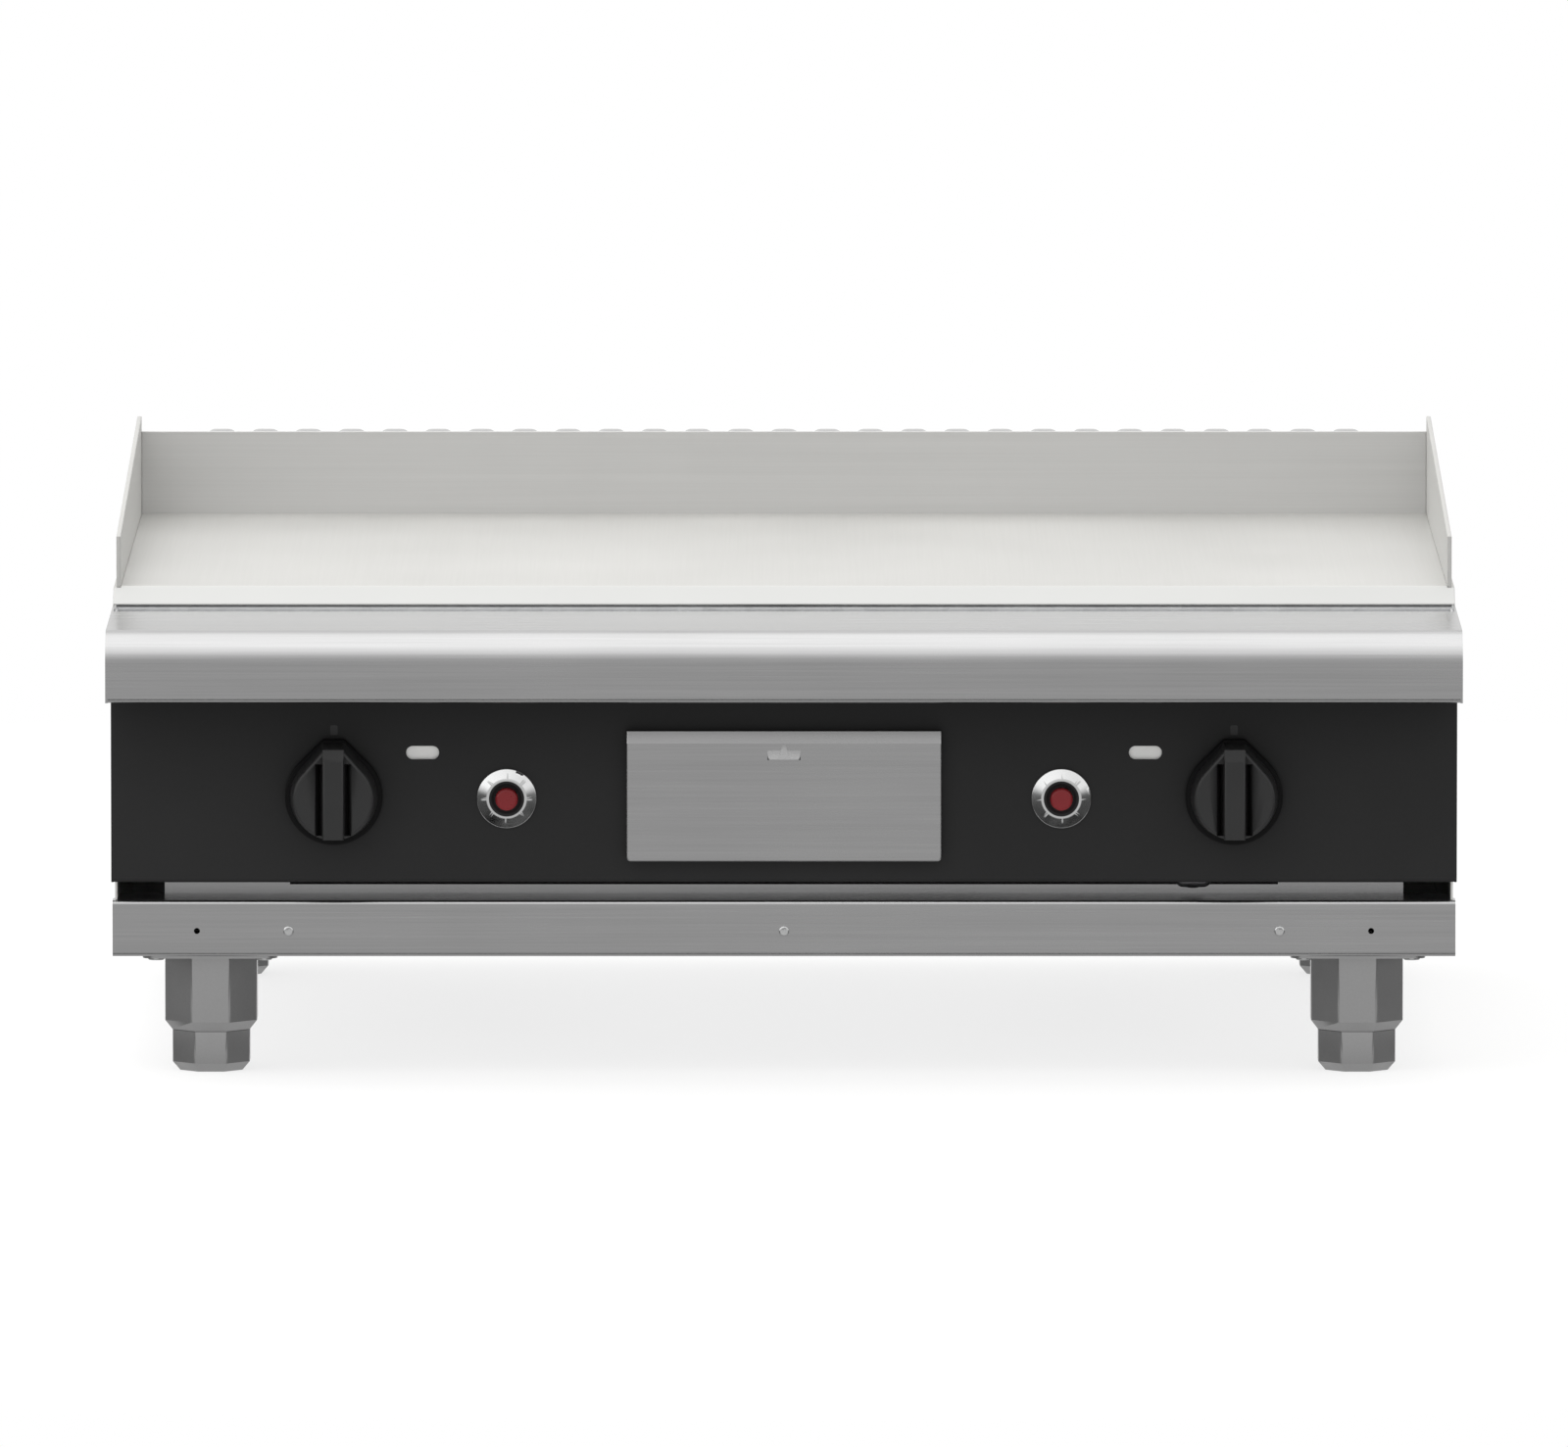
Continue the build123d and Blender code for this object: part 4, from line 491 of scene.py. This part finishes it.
# painted light: a real pane, painted pale to stand for the bright light seen through the sight slot
pane_milky = moulded("sight_pane_milky", (0.80, 0.80, 0.785), 0.40, grain=260.0, strength=0.12)
index_ink = moulded("index_ink_grey", (0.042, 0.042, 0.043), 0.55, grain=700.0)
print("moulded materials: 5")

# %% [markdown]
# ## A finish for every node
# One table says which slot and which finish each CAD node has. Every node gets its finish here, also those
# deep inside, because the drawer opens and the object is seen from below. Nodes that are remade afterwards
# take their finish from the same table.

# %% Finishes
CORNERS = [f"{end}_{side}" for end in ("front", "rear") for side in ("left", "right")]
SIDES = ("left", "right")
FINISHES = [
    ("stainless", steel_x, ["front_hob", "flue_cover", "front_rail", "drawer_front", "drawer_tray",
                            "drawer_pull", "firewall"]),
    ("stainless", dull_x, ["rear_splash"]),
    ("stainless", dull_y, [f"{part}_{side}" for part in ("side_guard", "side_panel") for side in SIDES]),
    ("plate_steel", plate_steel, ["griddle_plate"]),
    ("galvanised", spangled, ["grease_trough", "grease_chute", "flue_duct", "rear_panel", "base_pan",
                              "plate_supports", "runner_hangers", "drawer_runner_left",
                              "drawer_runner_right", "burner_stands", "leg_brackets"]),
    ("black_enamel", panel_enamel, ["control_panel"]),
    ("knob_black", knob_plastic, [f"knob_{side}" for side in SIDES]),
    ("skirt_black", dial_plastic, [f"knob_skirt_{side}" for side in SIDES]),
    ("leg_metal", leg_metal, [f"{part}_{corner}" for part in ("leg", "foot") for corner in CORNERS]),
    ("zinc", zinc, ["rail_screws", "leg_bolts", "piezo_nuts", "spindle_left", "spindle_right"]),
    ("brass", brass, ["gas_injectors"] + [f"{part}_{side}" for part in ("gas_valve", "valve_plug")
                                          for side in SIDES]),
    ("gloss_black", ring_chrome, [f"piezo_housing_{side}" for side in SIDES]),
    ("button_red", button_red, [f"piezo_button_{side}" for side in SIDES]),
    ("burner_steel", burner_steel, [f"{part}_{side}" for part in ("burner", "pilot_burner")
                                    for side in SIDES]),
    ("pipe_steel", pipe_steel, ["gas_manifold", "gas_inlet", "supply_pipes"]),
    ("copper_tube", copper, ["pilot_tubes"]),
    ("pane", pane_milky, ["sight_glasses"]),
]
finish_of = {node: finish for _, finish, members in FINISHES for node in members}
for node, cad_object in frame["nodes"].items():
    cad_object.data.materials.clear()
    cad_object.data.materials.append(finish_of[node])
print("finished nodes:", len(finish_of), "of", len(frame["nodes"]))

# %% [markdown]
# ## Softened edges
# No real edge is perfectly sharp: a folded sheet has a radius and a sawn plate is deburred. The thin line of
# light along such an edge is most of what makes sheet metal look real. The CAD mesh arrives as loose
# triangles, so a copy is joined, its flat faces are made whole, and then a Bevel rounds only the sharp edges.
# Normals that follow the largest face keep the big sheets truly flat: averaged ones would bend the
# reflections around every screw hole. Moulded pieces already have their radii from the CAD, so they only get
# the normals.

# %% Softening helpers
WELD = 1e-6             # metres
FLAT_ANGLE = 0.05       # degrees; faces that turn less than this are one face
BEVEL_FROM = 28.0       # edges that turn more are rounded
SHARP_EDGE = 35.0       # edges that turn more stay crisp in the shading
SHARP_ROUNDED = 55.0    # the same, on a piece whose edges are already rounded
BEVEL_SEGMENTS = 2
LARGEST_FACE = 100      # how far the largest face leads the normals


def merged_copy(node):
    """A CAD node's mesh with its triangles joined; flat faces become whole, curves stay as they are."""
    shape = bmesh.new()
    shape.from_mesh(frame["nodes"][node].data)
    bmesh.ops.remove_doubles(shape, verts=shape.verts, dist=WELD)
    bmesh.ops.dissolve_limit(
        shape, angle_limit=math.radians(FLAT_ANGLE), verts=shape.verts, edges=shape.edges
    )
    return shape


def object_from(shape, name):
    """Turns a bmesh into a smooth-shaded object at the origin."""
    mesh = bpy.data.meshes.new(name)
    shape.to_mesh(mesh)
    shape.free()
    mesh.polygons.foreach_set("use_smooth", [True] * len(mesh.polygons))
    made = bpy.data.objects.new(name, mesh)
    bpy.context.scene.collection.objects.link(made)
    return made


def settled(piece):
    """Replaces a piece's mesh by what its modifiers make of it, and drops them."""
    graph = bpy.context.evaluated_depsgraph_get()
    mesh = bpy.data.meshes.new_from_object(
        piece.evaluated_get(graph), preserve_all_data_layers=True, depsgraph=graph
    )
    piece.modifiers.clear()
    piece.data = mesh
    return piece


def stands_for(piece, *nodes):
    """Gives a finished piece the first node's finish and body, and hides the nodes."""
    node = nodes[0]
    piece.data.materials.clear()
    piece.data.materials.append(finish_of[node])
    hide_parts(*nodes)
    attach(piece, frame["nodes"][node]["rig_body"])
    return piece


def creased(piece, sharp=SHARP_EDGE):
    """Keeps edges crisp that turn more than an angle in degrees."""
    piece.data.set_sharp_from_angle(angle=math.radians(sharp))
    return piece


def weighted(piece):
    """Smooth normals that follow the largest face, broken at the crisp edges."""
    normals = piece.modifiers.new("normals", "WEIGHTED_NORMAL")
    normals.mode = "FACE_AREA"
    normals.weight = LARGEST_FACE
    normals.keep_sharp = True
    return settled(piece)


def softened(node, width):
    """A copy of a node whose sharp edges have a small radius, in millimetres."""
    piece = object_from(merged_copy(node), f"{node}_softened")
    bevel = piece.modifiers.new("edges", "BEVEL")
    bevel.width = width * MM
    bevel.segments = BEVEL_SEGMENTS
    bevel.limit_method = "ANGLE"
    bevel.angle_limit = math.radians(BEVEL_FROM)
    return stands_for(weighted(creased(settled(piece), SHARP_ROUNDED)), node)


def smoothed(node):
    """A copy of a node that keeps its shape and gets smooth normals."""
    return stands_for(weighted(creased(object_from(merged_copy(node), f"{node}_smoothed"))), node)


# %% Sheets and plate
EDGE_RADII = {
    "griddle_plate": 0.6, "front_hob": 0.45, "rear_splash": 0.6, "front_rail": 0.35,
    "side_guard_left": 0.6, "side_guard_right": 0.6, "side_panel_left": 0.35, "side_panel_right": 0.35,
    "rear_panel": 0.35, "control_panel": 0.35, "grease_trough": 0.3, "drawer_front": 0.6,
    "drawer_tray": 0.3, "drawer_pull": 0.3,
}
for node, radius in EDGE_RADII.items():
    made = softened(node, radius)
    print(made.name, len(made.data.polygons), "faces")

# %% Moulded and cast pieces
smooth_nodes = [f"{part}_{corner}" for part in ("leg", "foot") for corner in CORNERS]
smooth_nodes += [f"{part}_{side}" for part in ("knob", "knob_skirt", "piezo_housing", "piezo_button",
                                               "gas_valve", "burner") for side in SIDES]
smooth_nodes += ["gas_manifold", "gas_inlet", "supply_pipes", "pilot_tubes"]
for node in smooth_nodes:
    smoothed(node)
print("smoothed pieces:", len(smooth_nodes))

# %% [markdown]
# ## Rows of louvres and screws
# The flue cover has a row of pressed louvres, all from one punch. One hood is shaped, and Geometry
# Nodes repeats it along a line. The tree's inputs are the count and the pitch, so the row can be changed
# without touching the hood. An Array modifier could do this too, but the same tree also serves the three
# rail screws, where each copy needs its own turn about its axis: no two screws stop with their slots alike.

# %% The row tree
def row_tree():
    """A straight row of copies of one shape, each turned by a random part of Turn."""
    tree = bpy.data.node_groups.new("row_of_copies", "GeometryNodeTree")
    sockets = tree.interface
    sockets.new_socket("Geometry", in_out="OUTPUT", socket_type="NodeSocketGeometry")
    for name, kind in (
        ("Geometry", "Geometry"), ("Shape", "Object"), ("Count", "Int"), ("Start", "Vector"),
        ("Step", "Vector"), ("Turn", "Vector"), ("Seed", "Int"), ("Finish", "Material"),
    ):
        sockets.new_socket(name, in_out="INPUT", socket_type=f"NodeSocket{kind}")
    given = tree.nodes.new("NodeGroupInput").outputs

    def node(kind, **links):
        made = tree.nodes.new(kind)
        for name, source in links.items():
            tree.links.new(source, made.inputs[name.replace("_", " ")])
        return made

    line = node(
        "GeometryNodeMeshLine", Count=given["Count"], Start_Location=given["Start"], Offset=given["Step"]
    )
    shape = node("GeometryNodeObjectInfo", Object=given["Shape"])
    chance = tree.nodes.new("FunctionNodeRandomValue")
    chance.data_type = "FLOAT_VECTOR"
    chance.inputs[0].default_value = (0.0, 0.0, 0.0)
    tree.links.new(given["Turn"], chance.inputs[1])
    tree.links.new(given["Seed"], chance.inputs["Seed"])
    copies = node(
        "GeometryNodeInstanceOnPoints", Points=line.outputs[0], Instance=shape.outputs["Geometry"],
        Rotation=chance.outputs[0],
    )
    real = node("GeometryNodeRealizeInstances", Geometry=copies.outputs[0])
    painted = node("GeometryNodeSetMaterial", Geometry=real.outputs[0], Material=given["Finish"])
    tree.links.new(painted.outputs[0], tree.nodes.new("NodeGroupOutput").inputs[0])
    return tree


ROW = row_tree()


def row_of(shape, name, finish, count, start, step, turn=(0.0, 0.0, 0.0), seed=7):
    """Runs the row tree once and keeps the result as a plain mesh."""
    mesh = bpy.data.meshes.new(name)
    piece = bpy.data.objects.new(name, mesh)
    bpy.context.scene.collection.objects.link(piece)
    row = piece.modifiers.new("row", "NODES")
    row.node_group = ROW
    values = {
        "Shape": shape, "Count": count, "Start": start, "Step": step, "Turn": turn, "Seed": seed,
        "Finish": finish,
    }
    for item in ROW.interface.items_tree:
        if item.in_out == "INPUT" and item.name in values:
            row[item.identifier] = values[item.name]
    return settled(piece)


print("row tree nodes:", len(ROW.nodes))

# %% [markdown]
# ## The flue cover
# Its flat is a sheet with a slot under every hood and a lip folded down at the rear. A grid of quads with the
# slots left out gives clean edges, and Solidify turns it into sheet. The hood is a smooth bulge that rises
# from the front and stands open at the back, which lets the hot gas out and keeps spills from running in.

# %% Flue cover
LOUVRES = 27
LOUVRE_PITCH = 30.0
LOUVRE_WIDTH = 20.0
LOUVRE_LENGTH = 22.0
LOUVRE_RISE = 3.2
SLOT_INSET = 1.0        # hood's edge to the slot's, all round
HOOD_SHEET = 0.9
HOOD_SINK = 0.05        # how far the hoods sit in the flat, so that no gap shows
HOOD_CREASE = 40.0
HOOD_CLIMB = 0.3        # share of the length over which a hood rises
HOOD_SWELL = 1.3        # above 1, a hood starts flatter
HOOD_SHOULDER = 5       # higher means squarer sides
HOOD_FACES = (12, 10)   # across and along
SHEET = 1.5
LIP_RADIUS = 3.0
LIP_STEPS = 6

cover_low, cover_high = (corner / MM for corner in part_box("flue_cover"))
cover_top = cover_high.z - LOUVRE_RISE
louvre_y = (cover_low.y + cover_high.y - SHEET) / 2
slot_half = (LOUVRE_WIDTH / 2 - SLOT_INSET, LOUVRE_LENGTH / 2 - SLOT_INSET)
first_x = -(LOUVRES - 1) / 2 * LOUVRE_PITCH


def cover_sheet():
    """The slotted flat and its rear lip, as one skin that is then thickened."""
    columns = [cover_low.x]
    for i in range(LOUVRES):
        centre = first_x + i * LOUVRE_PITCH
        columns += [centre - slot_half[0], centre + slot_half[0]]
    columns.append(cover_high.x)
    profile = [(cover_low.y, cover_top), (louvre_y - slot_half[1], cover_top),
               (louvre_y + slot_half[1], cover_top)]
    for i in range(LIP_STEPS + 1):
        angle = math.radians(90.0 * i / LIP_STEPS)
        profile.append((cover_high.y - LIP_RADIUS * (1.0 - math.sin(angle)),
                        cover_top - LIP_RADIUS * (1.0 - math.cos(angle))))
    profile.append((cover_high.y, cover_low.z))
    shape = bmesh.new()
    grid = [[shape.verts.new((x * MM, y * MM, z * MM)) for x in columns] for y, z in profile]
    for j in range(len(profile) - 1):
        for i in range(len(columns) - 1):
            if j == 1 and i % 2 == 1:  # a slot
                continue
            shape.faces.new((grid[j][i], grid[j][i + 1], grid[j + 1][i + 1], grid[j + 1][i]))
    return shape


def louvre_hood():
    """One pressed hood about its own centre, open at the rear."""
    across, along = HOOD_FACES
    shape = bmesh.new()
    rows = []
    for j in range(along + 1):
        v = j / along
        swell = math.sin(min(1.0, v / HOOD_CLIMB) * math.pi / 2) ** HOOD_SWELL
        row = []
        for i in range(across + 1):
            u = 2.0 * i / across - 1.0
            rise = LOUVRE_RISE * swell * (1.0 - abs(u) ** HOOD_SHOULDER)
            place = Vector((u * LOUVRE_WIDTH / 2, (v - 0.5) * LOUVRE_LENGTH, rise)) * MM
            row.append(shape.verts.new(place))
        rows.append(row)
    for j in range(along):
        for i in range(across):
            shape.faces.new((rows[j][i], rows[j][i + 1], rows[j + 1][i + 1], rows[j + 1][i]))
    return shape


def thickened(piece, thickness):
    """Gives a skin its sheet thickness, inwards from its outer face."""
    wall = piece.modifiers.new("sheet", "SOLIDIFY")
    wall.thickness = thickness * MM
    wall.offset = -1.0
    return settled(piece)


cover = creased(thickened(object_from(cover_sheet(), "flue_cover_sheet"), SHEET))
stands_for(cover, "flue_cover")
hood = thickened(object_from(louvre_hood(), "louvre_hood"), HOOD_SHEET)
louvres = row_of(
    hood, "flue_louvres", steel_x, LOUVRES,
    (first_x * MM, louvre_y * MM, (cover_top - HOOD_SINK) * MM), (LOUVRE_PITCH * MM, 0.0, 0.0),
)
stands_for(creased(louvres, HOOD_CREASE), "flue_cover")
bpy.data.objects.remove(hood)
print("louvre faces:", len(louvres.data.polygons))

# %% [markdown]
# ## Rail screws
# Three pan-head screws with crossed slots hold the lower rail. The CAD node has all three, so the middle one
# is taken out of it, lowered to height 0 and repeated by the row tree with a random turn about its axis.

# %% Rail screws
SCREWS = 3
SCREW_REACH = 10.0


def middle_of(node, reach):
    """The part of a node that lies within reach of the middle plane, in metres."""
    shape = merged_copy(node)
    away = [v for v in shape.verts if abs(v.co.x) > reach]
    bmesh.ops.delete(shape, geom=away, context="VERTS")
    return shape


screw_low, screw_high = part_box("rail_screws")
head_width = screw_high.z - screw_low.z
screw_pitch = (screw_high.x - screw_low.x - head_width) / (SCREWS - 1)
screw_z = (screw_low.z + screw_high.z) / 2
screw_shape = middle_of("rail_screws", SCREW_REACH * MM)
bmesh.ops.translate(screw_shape, verts=screw_shape.verts, vec=(0.0, 0.0, -screw_z))
screw = creased(object_from(screw_shape, "rail_screw"))
screws = row_of(
    screw, "rail_screws_turned", zinc, SCREWS, (-screw_pitch, 0.0, screw_z), (screw_pitch, 0.0, 0.0),
    turn=(0.0, math.pi / 2, 0.0), seed=3,
)
stands_for(screws, "rail_screws")
bpy.data.objects.remove(screw)
print("screws at pitch", round(screw_pitch, 4))

# %% [markdown]
# ## Index marks
# A short grey mark is printed on the panel above each knob and shows where off is. It is ink, so it is a
# rounded patch only a few hundredths of a millimetre thick, laid on the enamel.

# %% Index marks
MARK_WIDTH = 5.0
MARK_HEIGHT = 6.5
MARK_CORNER = 1.0
MARK_CORNER_STEPS = 4
MARK_THICKNESS = 0.05
MARK_ABOVE_DIAL = 1.8

panel_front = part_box("control_panel")[0].y
for side in SIDES:
    dial_low, dial_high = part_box(f"knob_skirt_{side}")
    above = (MARK_ABOVE_DIAL + MARK_HEIGHT / 2) * MM
    centre = Vector(((dial_low.x + dial_high.x) / 2, 0.0, dial_high.z + above))
    outline = []
    for corner, (sx, sz) in enumerate(((1, 1), (-1, 1), (-1, -1), (1, -1))):
        for step in range(MARK_CORNER_STEPS + 1):
            angle = math.radians(90.0 * (corner + step / MARK_CORNER_STEPS))
            outline.append((sx * (MARK_WIDTH / 2 - MARK_CORNER) + MARK_CORNER * math.cos(angle),
                            sz * (MARK_HEIGHT / 2 - MARK_CORNER) + MARK_CORNER * math.sin(angle)))
    shape = bmesh.new()
    ring = [shape.verts.new((centre.x + x * MM, panel_front, centre.z + z * MM)) for x, z in outline]
    patch = shape.faces.new(ring)
    raised = bmesh.ops.extrude_face_region(shape, geom=[patch])["geom"]
    bmesh.ops.translate(
        shape, verts=[v for v in raised if isinstance(v, bmesh.types.BMVert)],
        vec=(0.0, -MARK_THICKNESS * MM, 0.0),
    )
    bmesh.ops.recalc_face_normals(shape, faces=shape.faces)
    mark = creased(object_from(shape, f"index_mark_{side}"))
    mark.data.materials.append(index_ink)
    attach(mark, "chassis")
    print(mark.name, "at z", round(centre.z, 4))

# %% [markdown]
# ## Floor
# A pale disc carries the contact shadow and fades out before its edge, so no horizon line shows. It is left
# out of reflections, because a polished part would otherwise show its rim. The disc glows a little, like a
# light table, which keeps the shadow under the body pale.

# %% Floor
FLOOR_RADIUS = 2.3
FADE_START = 1.4
FADE_END = 2.2
FLOOR_GLOW = 0.74


def floor_material():
    found, nodes, shader = material("floor_pale", specular=0.1)
    distance = nodes.make("ShaderNodeVectorMath", {"operation": "LENGTH"}, {0: nodes.place()}, 1)
    dust = nodes.noise(nodes.place(), 3.0)
    wire(
        nodes, shader,
        Base_Color=nodes.blend(dust, (0.24, 0.24, 0.24), (0.26, 0.26, 0.26)),
        Emission_Color=(1.0, 1.0, 1.0),
        Emission_Strength=FLOOR_GLOW,
        Roughness=nodes.between(dust, 0.75, 0.9),
        Alpha=nodes.between(distance, 1.0, 0.0, FADE_START, FADE_END),
    )
    return found


floor_shape = bmesh.new()
bmesh.ops.create_circle(floor_shape, cap_ends=True, segments=96, radius=FLOOR_RADIUS)
floor = object_from(floor_shape, "floor")
floor.data.materials.append(floor_material())
floor.visible_glossy = False
print("floor radius", FLOOR_RADIUS)

# %% [markdown]
# ## Studio
# Brushed metal shows its surroundings, so the studio is mostly a matter of what lies in each direction. The
# upright faces see the low front, the plate and the deck see the low rear, and slanting faces see the
# ceiling, so each gets its own level, and the front climbs slowly from dark to bright, which draws the soft
# band on the rounded nose. The sides are dark near the horizon, which gives the legs' facets and the igniter
# rings their contrast. Below the horizon lies a pale floor, with one black flag low in front, as
# photographers use on shiny things: it keeps the lower half of the igniter rings dark. The camera itself sees
# only an even pale background.

# %% Studio
FRONT_LOW = 0.55
FRONT_TOP = 1.75
FRONT_CURVE = 2.7        # higher means that the front stays dark for longer as it climbs
REAR = 0.92
BESIDE_FRONT = 0.05
SIDE_LOW = 0.19
SIDE_HIGH = 1.30
TOP = 1.70
FLOOR_BELOW = 0.50
LEAN = 0.30              # how much brighter the left is, high up
BACKDROP = 1.0

# Where one level fades into the next. A direction has length 1, so its Y runs from -1 in front to 1 at the
# rear, and its Z from -1 below to 1 above.
FRONT_Y = (-0.86, -0.765)
REAR_Y = (0.55, 0.88)
BESIDE_Y = (-0.60, -0.35)
FLAG_FRONT_Y = (-0.82, -0.77)
FLAG_REAR_Y = (-0.66, -0.61)
CLIMB_Z = (-0.10, 0.90)
SIDE_Z = (0.02, 0.24)
TOP_Z = (0.72, 0.92)
FLOOR_Z = (-0.62, -0.45)
LEAN_Z = (0.05, 0.45)

LAMP_SIZE = 1.8
LAMP_POWER = 10.0
LAMP_PLACE = Vector((-0.9, -0.7, 2.3))
LAMP_TARGET = Vector((0.0, 0.0, 0.2))


def studio():
    """The level of light that comes from each direction, and the plain background that the camera sees."""
    world = bpy.data.worlds.new("studio")
    world.use_nodes = True
    nodes = Nodes(world.node_tree)
    looking = nodes.make("ShaderNodeTexCoord", output="Generated")
    x, y, z = (nodes.axis(looking, name) for name in "xyz")
    front = nodes.between(y, 1.0, 0.0, *FRONT_Y)
    rear = nodes.between(y, 0.0, 1.0, *REAR_Y)
    climb = nodes.between(z, 0.0, 1.0, *CLIMB_Z) ** FRONT_CURVE
    ahead = climb * (FRONT_TOP - FRONT_LOW) + FRONT_LOW
    low = nodes.between(y, BESIDE_FRONT, SIDE_LOW, *BESIDE_Y)
    aside = low + nodes.between(z, 0.0, 1.0, *SIDE_Z) * (SIDE_HIGH - low)
    level = aside + front * (ahead - aside) + rear * (REAR - aside)
    level = level + nodes.between(z, 0.0, 1.0, *TOP_Z) * (TOP - level)
    flag = nodes.between(y, 0.0, 1.0, *FLAG_FRONT_Y) * nodes.between(y, 1.0, 0.0, *FLAG_REAR_Y)
    level = level + nodes.between(z, 1.0, 0.0, *FLOOR_Z) * ((1.0 - flag) * FLOOR_BELOW - level)
    level = level * (1.0 - x * nodes.between(z, 0.0, LEAN, *LEAN_Z))
    backdrop = nodes.make("ShaderNodeBackground", inputs={0: (1.0, 1.0, 1.0, 1.0), 1: BACKDROP})
    around = nodes.make("ShaderNodeBackground", inputs={0: (1.0, 0.998, 0.99, 1.0), 1: level})
    seen = nodes.make("ShaderNodeLightPath", output="Is Camera Ray")
    shown = nodes.make("ShaderNodeMixShader", inputs={0: seen, 1: around, 2: backdrop})
    output = world.node_tree.nodes["World Output"]
    world.node_tree.links.new(shown.socket, output.inputs[0])
    bpy.context.scene.world = world


studio()
softbox = bpy.data.lights.new("softbox", "AREA")
softbox.size = LAMP_SIZE
softbox.energy = LAMP_POWER
lamp = bpy.data.objects.new("softbox", softbox)
lamp.location = LAMP_PLACE
lamp.rotation_euler = (LAMP_TARGET - LAMP_PLACE).to_track_quat("-Z", "Y").to_euler()
lamp.visible_glossy = False
bpy.context.scene.collection.objects.link(lamp)
bpy.context.scene.view_settings.view_transform = "Standard"
print("studio ready")
